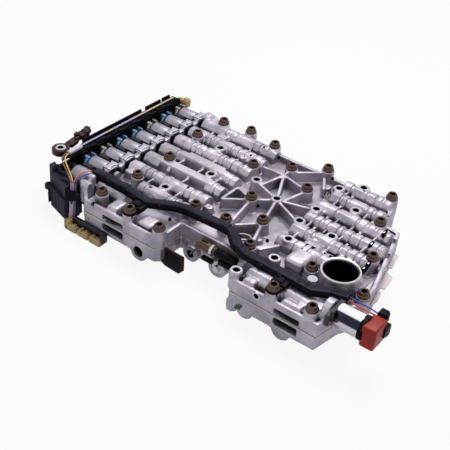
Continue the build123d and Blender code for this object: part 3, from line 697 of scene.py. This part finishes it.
def grooveCuts(bm):
    out = deck["grooveOut"]
    for x, gap, y in grooves:
        outline = [(0, 8.0), (0.35 * gap, 7.7), (0.65 * gap, 7.7), (gap, 8.0), (gap + 0.9, out), (-0.9, out)]
        addArc(bm, (x, y, level["axis"]), outline, math.radians(-104), math.radians(208), 14)


upper = fuse("castDeck", "upper_casting", ridgeShells() + [bossShell, webShell], cast["voxel"])
cut(upper, [deckCuts])
cut(upper, [grooveCuts])
paintShelterShade(upper)
ride(upper, "upper_casting", slot="cast_aluminium")


# Corner posts, pads and lobes under the front blocks, and the bores in the front wall.
# Each row is x, both ends along Y, z, radius and sides
base = {
    "posts": [
        (-70, -49.8, -20, 11.2, 10.8, 32), (-132, -49.8, -20, 11.2, 9, 32), (64, -49.8, -20, 11.2, 9.5, 32),
        (8, -20, 30, 14, 10.6, 36), (-26, -20, 8, 15, 9.6, 36),
    ],
    "pads": [(-90.5, -88), (94, 97), (123, 126), (-122.5, -120)],
    "bores": [
        (8, -22, 35, 14, 7.0, 36), (-26, -22, -4, 15, 4.6, 28), (-70, -52, -37, 11.5, 6.4, 36),
        (-139, -52, -49, 19, 1.1, 12),
    ],
}


def rodsAlongY(bm, rows):
    for x, y0, y1, z, radius, sides in rows:
        addRod(bm, (x, y0, z), (x, y1, z), radius, sides)


def baseShell(bm):
    rodsAlongY(bm, base["posts"])
    for x0, x1 in base["pads"]:
        addBox(bm, x0, x1, -50.6, -46, 10, 24, 0.6)


def baseCuts(bm):
    rodsAlongY(bm, base["bores"])


lower = fuse("castBase", "lower_casting", [baseShell], cast["voxel"] * 1.2)
cut(lower, [baseCuts])
paintShelterShade(lower)
ride(lower, "lower_casting", slot="cast_aluminium")
print("castings done,", len(grooves), "grooves")

# Dark linings of the bores: painted shadow, so that each opening reads as a hole. Each row is the place, the
# way, the ends of the cup, its radius, wall and floor, and its sides
lined = [((x, y, 0), "z", 27, 46.6, deck["hole"] - 0.03, 0.35, 0.6, 28) for x, y in caseHoles]
lined += [((x, y, 0), "z", 43.7, 46, 1.68, 0.38, 0.5, 12) for x, y in smallHoles]
lined += [
    ((125, 17, 0), "z", 1, 52.6, 17.35, 0.5, 0.6, 72), ((-70, 0, 11.5), "y", -38, -47.4, 6.3, 0.4, -0.6, 32),
    ((-26, 0, 15), "y", -5, -18.6, 4.5, 0.4, -0.6, 28), ((76, 0, 36.8), "y", -46, -49.4, 2.9, 0.4, -0.5, 20),
]
shadowLinings, windowShadows = newMeshes(2)
for spot, axis, floor, mouth, radius, wall, thick, sides in lined:
    addLathe(shadowLinings, spot, axis, cup(floor, mouth, radius, wall, thick), sides)
addBox(shadowLinings, -135.5, -131.5, -47.3, -46.3, 37.1, 41.3, 0.2, 1)
makePiece(shadowLinings, "boreLinings", "hollow", "black_plastic", smooth=50)

# Dark boxes at the backs of the openings in the front walls: painted shadow
for x in (-119.9, 96.1):
    addBoxes(windowShadows, [
        (0, 27.8, -43.5, -38.1, 27.1, 33.5, 0.5), (0, 27.8, -43.5, -38.1, 14.6, 22.9, 0.5),
        (9, 12.5, -45.4, -42, 27.1, 33.5, 0.6), (15, 25.8, -45, -42, 14.6, 17.4, 0.8),
    ], x)
makePiece(windowShadows, "windowBacks", "recess", "cast_aluminium", smooth=40)

# Flange bolts with a six-lobed socket, one on each solid of the bolts' node
bolt = {
    "head": closed([
        (0.2, 3.2), (0.2, 6.1), (0.6, 6.5), (1.9, 6.5), (2.7, 5.9), (3.1, 5.3), (5.3, 5.2), (6.1, 4.5),
        (6.42, 4), (6.3, 3.9), (6.15, 3.45), (5.9, 3), (3, 2.9), (3, 3)]),
    "washer": closed([(0, 3.1), (0, 5.5), (0.3, 5.6), (0.3, 3.1)]),
    "socket": 3, "lobes": 0.15, "sides": 36,
}
# A near-black cup down each socket: painted shadow
bolt["dark"] = cup(3, 5.7, bolt["socket"] - 0.06, 0.25, 0.3)


# A lathe on a bolt's seat, whose socket is drawn out into six lobes
def addLobed(bm, x, y, seat, profile):
    before = set(bm.verts)
    addLathe(bm, (x, y, seat), "z", profile, bolt["sides"])
    middle = at(x, y, 0)
    for v in set(bm.verts) - before:
        out = v.co - middle
        out.z = 0
        if v.co.z > (seat + 2.5) * mm and out.length < (bolt["socket"] + 0.5) * mm:
            wave = 1 + bolt["lobes"] * math.cos(6 * math.atan2(out.y, out.x) + x)
            v.co.x, v.co.y = middle.x + out.x * wave, middle.y + out.y * wave


boltTops, boltShanks, boltSockets = newMeshes(3)
for x, y, seat, low in boltSpots:
    addLobed(boltTops, x, y, seat, bolt["head"])
    addLobed(boltSockets, x, y, seat, bolt["dark"])
    shank = [(low - seat, 0), (low - seat, 2.4), (low - seat + 0.8, 3), (1.55, 3), (1.55, 0)]
    addLathe(boltShanks, (x, y, seat), "z", shank, 20)
    addLathe(boltShanks, (x, y, seat), "z", bolt["washer"], 32)
makePiece(boltTops, "boltHeads", "boltTop", "bolt_bronze", "casting_bolts", smooth=40)
makePiece(boltShanks, "boltShanks", "bolt", "bolt_bronze", "casting_bolts", smooth=40)
makePiece(boltSockets, "boltSockets", "hollow", "bolt_bronze", smooth=40)
print("bolts:", len(boltSpots))

# Machined rims of the open holes and the port
rim = {
    "top": level["seat"] + 0.25,
    "hole": closed([(-3, 3.75), (-0.7, 3.75), (0, 4.35), (0, 5.4), (-0.3, 5.8), (-1.2, 5.9), (-3, 4.8)]),
    "port": closed([
        (26, 17.5), (53.4, 17.5), (55, 18.4), (55, 19.4), (54.5, 19.9), (51.8, 20), (51, 18.4), (26, 18.4)]),
    "lip": closed([(54.2, 17.5), (55.05, 17.9), (55.25, 18.4), (55.25, 19.3), (54.8, 19.85), (54.2, 19.6)]),
    "front": closed([(-50.3, 2.95), (-50.3, 4.4), (-49, 4.4), (-49, 2.95)]),
}
rims, lip = newMeshes(2)
for x, y in caseHoles:
    addLathe(rims, (x, y, rim["top"]), "z", rim["hole"], 36)
addLathe(rims, (125, 17, 0), "z", rim["port"], 72)
addLathe(rims, (76, 0, 36.8), "y", rim["front"], 24)
addLathe(lip, (125, 17, 0), "z", rim["lip"], 72)
makePiece(lip, "portLip", "bright", "cast_aluminium")
makePiece(rims, "machinedRims", "machined", "cast_aluminium")

# Solenoids: pressed cans, dark coil ends and nubs, and their C-shaped clips
coil = {
    "rows": [-18 + 26 * i for i in range(8)], "blueRows": (1, 3, 4, 6),
    "can": [
        (-189, 0), (-189, 8.9), (-188.7, 9.7), (-188, 10.4), (-187.6, 10.5), (-168, 10.5), (-167.3, 10.1),
        (-167, 9.3), (-167, 5.6), (-152, 5.6), (-151, 5), (-151, 0)],
    "end": [
        (-196, 0), (-196, 6.2), (-195.2, 7.2), (-193.6, 7.4), (-193.4, 8.9), (-189.6, 8.9), (-189.4, 7),
        (-188.8, 7), (-188.8, 0)],
    "clip": [(0, 9), (0, 10.9), (0.3, 11.1), (2.4, 11.1), (2.7, 10.9), (2.7, 9)],
    "clipStart": -192.6, "gap": math.radians(24),
}


# The ring is open at the top, between a wide and a narrow foot
def clipRing(bm, y):
    gap = coil["gap"]
    addArc(bm, (coil["clipStart"], y, level["axis"]), coil["clip"], gap, math.tau - 2 * gap, 30)
    for angle, across in ((gap, 2.6), (-gap, 1.8)):
        lean = Matrix.Rotation(angle, 4, "X")
        size = Matrix.Diagonal((6.4 * mm, across * mm, 1.9 * mm, 1))
        spot = at(coil["clipStart"] + 0.4, y, level["axis"]) + lean @ Vector((0, 0, 11.2 * mm))
        foot = bmesh.ops.create_cube(bm, size=1, matrix=Matrix.Translation(spot) @ lean @ size)
        roundEdges(bm, {e for v in foot["verts"] for e in v.link_edges}, 0.35)


# Bright seat over the end of each can, waisted in the middle, and the block between two seats
seat = {
    "outline": [
        (-168.6, -6.2), (-166, -0.8), (-166, 3.6), (-168.6, 9), (-157.6, 9), (-160.2, 3.6), (-160.2, -0.8),
        (-157.6, -6.2)],
    "top": 48.6, "under": 43,
}
ends, nubs, blueClips, ivoryClips = newMeshes(4)
seats, seatShadows = newMeshes(2)
for i, y in enumerate(coil["rows"]):
    can = bmesh.new()
    addLathe(can, (0, y, level["axis"]), "x", coil["can"], 48)
    makePiece(can, f"can_{i + 1}", "can", "can_steel", f"solenoid_{i + 1}", smooth=30)
    addLathe(ends, (0, y, level["axis"]), "x", coil["end"], 28)
    addBox(ends, -195.5, -189.5, y - 3.2, y + 3.2, 44, 49, 0.7)
    addBox(nubs, -200.5, -193.6, y - 4.6, y + 4.6, 36, 46.4, 2.4, 3)
    addBox(nubs, -199, -196.2, y - 6.9, y + 6.9, 33.5, 43.5, 1)
    pad = [(x, y + across, seat["under"]) for x, across in seat["outline"]]
    addSlab(seats, pad, (0, 0, seat["top"] - seat["under"]), 0.6, 2, True)
    # A near-black disc on each seat, and blocks beside and between the seats: painted shadow in the gaps
    addLathe(seatShadows, (-161.5, y + 1.4, 0), "z", [(47, 0), (47, 1.5), (47.6, 1.5), (47.6, 0)], 12)
    addBox(seatShadows, -157.3, -154.6, y - 6.5, y + 8.8, 36, 44.6, 0.4)
    addBox(seatShadows, -166.8, -157.4, y - 6.9, y + 9.6, 38, 44.6, 0.4)
    if i < 7:
        addBox(seats, -163.2, -156.6, y + 9.6, y + 17.2, 38, 45.2, 0.9)
        addBox(seatShadows, -176.5, -167.2, y + 11.2, y + 14.8, 36, 46, 0.6)
    if i:
        clipRing(blueClips if i in coil["blueRows"] else ivoryClips, y)
makePiece(ends, "coilEnds", "black", "black_plastic")
makePiece(nubs, "coilNubs", "nub", "black_plastic", "solenoid_plugs")
makePiece(blueClips, "blueClips", "blue", "clip_plastic", "clip_rings")
makePiece(ivoryClips, "ivoryClips", "ivory", "clip_plastic", "clip_rings")
makePiece(seats, "seatPads", "pad", "cast_aluminium", smooth=30)
makePiece(seatShadows, "seatSlots", "hollow", "black_plastic", smooth=30)
print("solenoids done")

# Conduit: a long cover that bends over the deck, with a raised lid, clips and marks
duct = {
    "route": [
        (-163, -14.5), (-118, -16), (-85, -20), (-60, -5), (-47, -1), (0, 1.5), (10, 0), (26, -14.5),
        (42, -20), (100, -21.5), (118, -22), (133, -12.5), (149.5, -8),
    ],
    "width": 12.4, "lid": 9.4, "bottom": 47.7, "step": 51.6, "top": 54,
    "clips": [(-140, -15.3), (-100, -18.2), (-72, -12.2), (-24, 0.4), (18, -7.2), (62, -20.5), (84, -21.1)],
    "tabs": [(-89, -42), (89, -43)], "screws": [(103, -21.6), (112, -21.8)],
    "holes": [(62, -24.6), (50, -23.4), (-30, -3)],
}


def addRibbon(bm, route, width, z0, z1, round):
    left, right = [], []
    for i, (x, y) in enumerate(route):
        before, after = Vector(route[max(i - 1, 0)]), Vector(route[min(i + 1, len(route) - 1)])
        half = (after - before).normalized() * width / 2
        left.append((x - half.y, y + half.x, z0))
        right.append((x + half.y, y - half.x, z0))
    addSlab(bm, left + right[::-1], (0, 0, z1 - z0), round, 3)


conduit, lid, holeShadowDots = newMeshes(3)
addRibbon(conduit, duct["route"], duct["width"], duct["bottom"], duct["step"], 0.9)
addRibbon(lid, duct["route"], duct["lid"], duct["step"] - 0.5, duct["top"], 0.8)
for x, y in duct["clips"]:
    addBoxes(conduit, [(-2.6, 2.6, -6.9, 6.9, 48.2, 53.2, 0.8), (-1.4, 1.4, -7.3, -5.6, 47.8, 50.6, 0.4)], x, y)
for x, y in duct["tabs"]:
    addBoxes(conduit, [
        (-8.2, 8.2, 6.4, 18, 46.5, 51.6, 0.9), (-3.4, 3.4, 8, 16, 51, 53.2, 0.5),
        (-6.6, -4.8, -4, 17, 44.5, 50.2, 0.5), (4.8, 6.6, -4, 17, 44.5, 50.2, 0.5),
    ], x, y)
    addLathe(conduit, (x, y, 0), "z", closed([(47.5, 3.2), (47.5, 7.4), (49, 7.4), (49, 3.2)]), 28)
for i in range(6):      # ribs at the right end
    addBox(lid, 134.0 + 2.4 * i, 135.0 + 2.4 * i, -16.0 + 0.9 * i, -7.6 + 0.7 * i, 53.6, 54.7, 0.2, 1)
addBoxes(lid, [
    (-123.5, -115, -20.3, -11.3, 53.4, 54.9, 0.5), (-157, -140, -19.2, -10.4, 53.4, 54.6, 0.5),
    (-4.5, 4.5, -2.6, 5.4, 53.5, 54.9, 0.6), (30.5, 33, -21, -12.6, 53.5, 54.7, 0.4),
])
for x, y in duct["screws"]:
    addLathe(lid, (x, y, 0), "z", closed([(53.9, 1.8), (54.5, 1.8), (54.5, 2.6), (53.9, 2.6)]), 20)
# Near-black discs on the cover where its holes are: painted shadow
for x, y in duct["holes"]:
    addLathe(holeShadowDots, (x, y, 0), "z", [(51.5, 0), (51.5, 1.3), (52.2, 1.3), (52.2, 0)], 16)
makePiece(conduit, "conduitBody", "conduit", "black_plastic", "harness_conduit")
# The lid's lighter black is painted sheen
makePiece(lid, "conduitLid", "conduitTop", "black_plastic", "harness_conduit")
makePiece(holeShadowDots, "conduitHoles", "hollow", "black_plastic", smooth=40)
print("conduit done")

# End housing: panels, steps and ribs that stand on the frame's solid, and the filler panel by the latch
box, rail = newMeshes(2)
addBoxes(box, [
    (-209.3, -206.2, -37.5, -30, 27, 50.4, 0.5), (-206.5, -197, -33, -30.5, 27, 47, 0.5),
    (-188, -176.5, -41.5, -39.6, 30, 43.6, 0.4), (-200, -190, -34.2, -31.6, 40, 46, 0.5),
    (-190, -186, -33.5, -29, 36, 44.5, 0.6), (-173, -166.2, -47.5, -36, 3, 31, 0.6),
])
for i in range(5):
    x, y = -206.5 + 7.2 * i, -44.0 - 1.9 * i
    addBox(box, x, x + 1.2, y, y + 6, 5, 26.6, 0.3, 1)
makePiece(box, "housingRibs", "box", "black_plastic")
for y in coil["rows"]:
    addBoxes(rail, [
        (-203.6, -199.2, -7.6, 7.6, 53.3, 54.6, 0.4), (-202.6, -200.2, -3, 3, 54, 55.8, 0.5),
        (-199.2, -197.4, -9.4, 3.4, 47, 52.4, 0.5), (-197.6, -195.5, -7.6, 6.6, 40, 44.5, 0.5),
    ], 0, y)
for y0, y1 in ((16, 68.6), (69.6, 114), (122, 149), (152.4, 166.3)):
    addBox(rail, -212.8, -211, y0, y1, 47, 57, 0.35, 1)
for x in (-208.6, -204.8):
    addBox(rail, x, x + 0.6, 6.5, 168, 53.4, 55.6, 0.1, 1)
makePiece(rail, "railTerminals", "black", "black_plastic")

# Cream connectors under the front left corner and at the back, with their ribs and latches
plugs, band, rear = newMeshes(3)
for i in range(3):
    addBoxes(plugs, [
        (0, 15.6, -61, -53.95, -1, 6.4, 1.3, 3), (2, 6, -60.6, -54.5, 5, 8.2, 0.8),
        (8.4, 12.6, -60.6, -54.5, 5, 7.6, 0.8), (6.4, 7.8, -61, -54.5, 3, 5.2, 0.4),
    ], -164 + i * 17.17)
addBox(plugs, -165.5, -158.6, -61, -51.3, 0, 11, 1.4, 3)
addBox(plugs, -127, -114.5, -60.8, -54.5, 2, 7.2, 1.4, 3)
makePiece(plugs, "plugBodies", "cream", "cream_plastic", "connector_blocks")
addBoxes(band, [
    (-159.3, -112, -53.8, -50.1, 3, 14, 0.6), (-124.4, -123.4, -54.2, -51, 3.2, 14, 0.2, 1),
    (-116, -111.6, -58, -50.3, 2.4, 12.6, 1.2),
])
makePiece(band, "plugBand", "navy", "navy_plastic", "connector_band")
addBoxes(rear, [
    (-198, -189.3, 172.3, 181, 44, 54, 1), (-206, -197.6, 172.3, 178, 46, 52, 0.8),
    (-196.5, -190.8, 174, 179.5, 53.5, 55.4, 0.5), (-204, -200, 173, 177.4, 51.6, 53.6, 0.5),
])
makePiece(rear, "rearPlug", "cream", "cream_plastic", "rear_connector")
print("housing and plugs done")

# Locating arm: a lumpy lever with an eye and its steel bushing. Each lump is its distance along the arm and
# across it, its length and width, both heights and the rounding
arm = {
    "eye": (-220.8, -9), "tip": (-230, 46),
    "ring": closed([(47, 6), (47, 9.2), (47.6, 9.8), (53.2, 9.8), (54, 9), (54, 6)]),
    "bush": closed([(46.5, 3.4), (46.5, 5.5), (47, 5.9), (54.1, 5.9), (54.6, 5.4), (54.6, 4), (54, 3.4)]),
    "lumps": [
        (31, 0, 46, 7.6, 48.2, 52.6, 1), (20, 1, 14, 9.6, 47.6, 53.2, 1.6),
        (38, 0.6, 10, 10, 48, 54.4, 1.4), (33, -2.2, 6, 4.4, 50, 56.2, 1),
        (45, 1.4, 7, 9, 47.8, 55.6, 1.4), (52, -1.2, 6, 6.4, 48.4, 55, 1.2),
        (27, 2.6, 7, 3, 49, 55, 0.8),
    ],
}
lever, bush, eyeShadow = newMeshes(3)
addLathe(lever, (*arm["eye"], 0), "z", arm["ring"], 40)
spine = (Vector(arm["tip"]) - Vector(arm["eye"])).normalized()
lean = Matrix.Rotation(math.atan2(spine.y, spine.x), 4, "Z")
for along, across, length, width, z0, z1, radius in arm["lumps"]:
    before = set(lever.verts)
    addBox(lever, -length / 2, length / 2, -width / 2, width / 2, z0, z1, radius)
    spot = Vector(arm["eye"]) + spine * along + Vector((spine.y, -spine.x)) * across
    matrix = Matrix.Translation(at(spot.x, spot.y, 0)) @ lean @ Matrix.Translation(-at(0, 0, 0))
    bmesh.ops.transform(lever, matrix=matrix, verts=list(set(lever.verts) - before))
addLathe(bush, (*arm["eye"], 0), "z", arm["bush"], 40)
# A near-black cup inside the bushing: painted shadow in its bore
addLathe(eyeShadow, (*arm["eye"], 0), "z", cup(47, 53.2, 3.35, 0.35, 0.4), 24)
makePiece(lever, "leverArm", "brown", "brown_plastic", "locating_arm")
makePiece(bush, "leverBush", "bright", "bright_steel", "arm_bushing")
makePiece(eyeShadow, "leverEye", "hollow", "bright_steel")

# Oil temperature sensor in the notch
sensor = {
    "spot": (0, -19.5, 34),
    "body": [
        (-17, 0), (-17, 4.2), (-16.2, 5.2), (-12, 5.2), (-11.6, 4.8), (-9.5, 4.8), (-9, 5.2), (3, 5.2),
        (3.4, 4.6), (6, 4.6), (6, 0)],
    "boot": [
        (6, 0), (6, 4.4), (8, 4.6), (12, 4.6), (12.4, 4.1), (14, 4.1), (14.4, 4.6), (30, 4.4), (31, 3.6),
        (31, 0)],
}
probe, boot = newMeshes(2)
addLathe(probe, sensor["spot"], "x", sensor["body"], 32)
addBox(probe, -14, -2, -22.5, -16.5, 36, 39.6, 0.8)
addLathe(boot, sensor["spot"], "x", sensor["boot"], 32)
addBoxes(boot, [
    (-12.5, -4.5, -21.2, -17.8, 39, 39.9, 0.3, 1), (-8, 6, -26.4, -21.5, 21.5, 25.5, 0.8),
    (12, 26, -25, -14.5, 24.4, 29.6, 1),
])
makePiece(probe, "probeBody", "sensor", "brown_plastic", "sensor_body")
makePiece(boot, "probeBoot", "black", "black_plastic", "sensor_sleeve")

# Shield plate: its brown folded edge, and the dark face that stands before it
shield = {
    "edge": [(-43.8, 24), (-20, 24), (-19.5, 7), (-25, 0.5), (-43, 1.5), (-50, 5), (-50, 9.3), (-43.8, 9.3)],
    "face": [(-42.5, 21.5), (-24, 21.5), (-23.6, 8), (-27, 3.4), (-41.5, 4), (-43.5, 5.5)],
}
plate, front = newMeshes(2)
addSlab(plate, [(x, -37, z) for x, z in shield["edge"]], (0, -2, 0), 0.5)
addSlab(front, [(x, -38.8, z) for x, z in shield["face"]], (0, -0.7, 0), 0.3)
makePiece(plate, "shieldEdge", "shieldEdge", "black_plastic", "shield_plate")
makePiece(front, "shieldFace", "shield", "black_plastic")
print("sensor and shield done")

# Right solenoid: plated can, toothed collar, squared red cap, retainer and black plug
motor = {
    "spot": (0, -29, 46), "teeth": 20,
    "can": [
        (140, 0), (140, 6.5), (150.6, 6.5), (151, 10.8), (151.6, 11.6), (152.4, 12), (177.2, 12), (178, 11.5),
        (178, 0)],
    "collar": [(176.6, 0), (176.6, 12.3), (180.4, 12.3), (180.4, 0)],
}
can, collar, cap, holder, tail = newMeshes(5)
addLathe(can, motor["spot"], "x", motor["can"], 64)
addLathe(collar, motor["spot"], "x", motor["collar"], 48)
pivot = Matrix.Translation(at(181, *motor["spot"][1:]))
tooth = Matrix.Translation((0, 0, 11.7 * mm)) @ Matrix.Diagonal((2.6 * mm, 2.0 * mm, 1.8 * mm, 1))
for i in range(motor["teeth"]):
    lean = Matrix.Rotation(math.tau * i / motor["teeth"], 4, "X")
    bmesh.ops.create_cube(collar, size=1, matrix=pivot @ lean @ tooth)
addBox(cap, 180.2, 194.8, -40.6, -17.6, 34, 57.4, 2.2, 4)
addBox(holder, 146, 151, -46.5, -17, 41.2, 54, 1.2, 3)
addBox(holder, 149, 152.6, -43, -20, 40.8, 57, 1.6, 3)
addBoxes(tail, [
    (183, 191, -17, -9, 42, 60, 0.8), (184.2, 196.6, -19, -11.4, 37, 50, 1.8, 3),
    (193, 196.8, -24, -14, 40, 52, 1.2), (182.2, 184.4, -16.2, -9.8, 47, 57.4, 0.4),
    (190.6, 192.2, -15.8, -10.2, 50, 59, 0.4),
])
for i in range(3):
    addBox(tail, 184.2 + 2.4 * i, 185.2 + 2.4 * i, -17.6, -16.6, 48, 59.2, 0.2, 1)
makePiece(can, "motorCan", "chrome", "chrome_steel", "right_solenoid", smooth=30)
makePiece(collar, "motorCollar", "black", "black_plastic")
makePiece(cap, "motorCap", "red", "red_plastic", "right_solenoid_cap", smooth=40)
makePiece(holder, "motorHolder", "nub", "black_plastic", "solenoid_retainer")
makePiece(tail, "motorPlug", "black", "black_plastic", "right_plug")

# Rings of the post by the port, and the keepers' slots at the ends of the right ridges: near-black blocks of
# painted shadow, each with a bright end
post, keepers, keeperCores = newMeshes(3)
for i in range(4):
    addLathe(post, (156.5, 7, 38.6 + 2.3 * i), "z", [(0, 5), (0.2, 7.2), (1.2, 7.2), (1.5, 5)], 28)
for x, y in ((122.8, 109.5), (122.5, 83.5), (136, 53.5), (136.4, 43.5)):
    addBox(keepers, x - 1.6, x + 1.6, y - 4.2, y + 4.2, 42, 48.3, 0.4)
    addBox(keeperCores, x - 0.8, x + 0.9, y - 2.4, y + 0.8, 46, 48.8, 0.3)
makePiece(post, "postRings", "bolt", "bolt_bronze")
makePiece(keepers, "keeperSlots", "hollow", "black_plastic")
makePiece(keeperCores, "keeperEnds", "bright", "bright_steel")
print("right solenoid done")

# Coil springs behind the valves, one wound over each spring node
spring = {"turns": 6.5, "radius": 3.7, "wire": 0.5, "sides": 8, "steps": 130, "keep": 0.79}


def addSpring(bm, low, high):
    y, z = (low[1] + high[1]) / 2, (low[2] + high[2]) / 2
    steps, sides, thick = spring["steps"], spring["sides"], spring["wire"]
    last = None
    for i in range(steps + 1):
        turn = math.tau * spring["turns"] * i / steps
        x = low[0] + thick + (high[0] - low[0] - 2 * thick) * i / steps
        ring = []
        for k in range(sides):
            a = math.tau * k / sides
            r = spring["radius"] + thick * math.cos(a)
            spot = (x + thick * math.sin(a), y + r * math.cos(turn), z + r * math.sin(turn))
            ring.append(bm.verts.new(at(*spot)))
        if last is None:
            bm.faces.new(ring)
        else:
            for k in range(sides):
                n = (k + 1) % sides
                bm.faces.new((last[k], last[n], ring[n], ring[k]))
        last = ring
    bm.faces.new(last[::-1])


for name in [n for n in nodes if "_spring_" in n]:
    kind, _, number = name.split("_")
    low, high = islands(name)[0]
    wound = bmesh.new()
    addSpring(wound, low, high)
    piece = makePiece(wound, f"{kind}Coil_{number}", "spring", "spring_steel", name)
    held = high[0] if kind == "regulator" else low[0]
    anchor = tuple(at(held, (low[1] + high[1]) / 2, low[2]))
    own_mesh(piece)
print("springs done")

# Pale gasket flaps under the right edge, and the slots in that wall as near-black slabs of painted shadow
flaps = {
    "outlines": [
        [(138, 84), (147, 80), (154.5, 77), (157, 56), (151, 53.5), (142, 58)],
        [(142, 48), (150, 46), (157, 49), (160.5, 36), (159, 27), (150, 29)],
        [(134, 114), (142, 113), (146.5, 90), (137, 86)],
    ],
    "z": 24.2, "thick": 1.4,
    "slots": [((137.2, 99), (140.0, 84), 30, 34.5), ((141.4, 72), (143.0, 60), 29, 33)],
}
sheets, slots = newMeshes(2)
for outline in flaps["outlines"]:
    addSlab(sheets, [(x, y, flaps["z"]) for x, y in outline], (0, 0, flaps["thick"]))
for start, end, z0, z1 in flaps["slots"]:
    a, b = Vector(start), Vector(end)
    along = (b - a).normalized()
    out = Vector((along.y, -along.x)) * 0.35
    addSlab(slots, [(p.x, p.y, z0) for p in (a + out, b + out, b - out * 3, a - out * 3)], (0, 0, z1 - z0))
makePiece(sheets, "gasketFlaps", "flap", "plate_steel")
makePiece(slots, "wallSlots", "hollow", "cast_aluminium")

# A brushed dab of green paint on the front wall
dab = bmesh.new()
for x, z, w, h in ((57.5, 12.4, 5.4, 5.0), (59.8, 15.0, 4.2, 3.4), (55.4, 10.4, 3.6, 2.6)):
    addBox(dab, x - w / 2, x + w / 2, -50.75, -49.9, z - h / 2, z + h / 2, 0.35)
makePiece(dab, "paintDab", "dab", "cast_aluminium", smooth=40)
print("right end done")

# Carried-over nodes take their finish here
dress = {
    "plate": "separator_plate",
    "bolt": "casting_bolts",
    "blue": "clip_rings",
    "black": "solenoid_plugs terminal_rail solenoid_retainer right_plug sensor_sleeve cable_latch",
    "box": "end_housing",
    "strip": "contact_strip",
    "white": "wire_sleeve port_plug",
    "conduit": "harness_conduit",
    "valve": "end_plugs",
    "bright": "plug_keepers manual_valve sensor_clip sensor_pin arm_bushing",
    "chrome": "right_solenoid",
    "red": "right_solenoid_cap",
    "boltTop": "retainer_screw",
    "sensor": "sensor_body",
    "shield": "shield_plate",
    "cream": "connector_blocks rear_connector",
    "navy": "connector_band",
    "brown": "locating_arm",
    "lilacWire": "flat_cable",
    "cast": "upper_casting lower_casting",
}
dressed = {node: tone for tone, group in dress.items() for node in group.split()}
for name, piece in nodes.items():
    kind = "can" if name.startswith("solenoid_") else "spring" if "spring" in name else "valve"
    key = wireRoutes[name][0] if name in wireRoutes else dressed.get(name, kind)
    piece.data.materials.clear()
    piece.data.materials.append(finish[key])

# Floor, world and lamps
studio = {
    "floor": 0.80, "sky": 0.30,
    "lamps": [
        ("key", (-0.25, 0.50, 1.2), (0.6, 0.6), 11.5), ("fill", (0.7, -0.9, 0.6), (0.9, 0.6), 0.2),
        ("rim", (-0.9, -0.6, 0.7), (0.6, 0.6), 0.4),
    ],
}
ground = bmesh.new()
bmesh.ops.create_grid(ground, x_segments=1, y_segments=1, size=4.0)
paper = Paint("floorPaper", (studio["floor"],) * 3, 0.9)
floor = toPiece(ground, "floor", paper.material)
glow = paper.node("ShaderNodeEmission", values={"Color": (1.0, 1.0, 1.0), "Strength": 1.0})
seen, mirrored = paper.rays()
values = {0: seen * 0.9 + mirrored * 0.5, 1: Sock(paper, paper.shader.outputs[0]), 2: glow}
paper.show(paper.node("ShaderNodeMixShader", values=values), "Material Output")

world = bpy.data.worlds.new("studio")
bpy.context.scene.world = world
world.use_nodes = True
sky = Graph(world.node_tree)
plain = sky.tree.nodes["Background"]
sky.feed(plain.inputs["Color"], (0.93, 0.92, 1.0))
sky.feed(plain.inputs["Strength"], studio["sky"])
white = sky.node("ShaderNodeBackground", values={"Color": (1.0, 1.0, 1.0)})
seen, mirrored = sky.rays()
values = {0: sky.math("ADD", seen, mirrored, True), 1: Sock(sky, plain.outputs[0]), 2: white}
sky.show(sky.node("ShaderNodeMixShader", values=values), "World Output")

for name, spot, size, power in studio["lamps"]:
    data = bpy.data.lights.new(name, "AREA")
    data.shape = "RECTANGLE"
    data.size, data.size_y = size
    data.energy = power
    lamp = bpy.data.objects.new(name, data)
    bpy.context.collection.objects.link(lamp)
    lamp.location = spot
    lamp.rotation_euler = (at(0, 50, 30) - Vector(spot)).to_track_quat("-Z", "Y").to_euler()
bpy.context.scene.view_settings.view_transform = "Standard"
print("studio set")
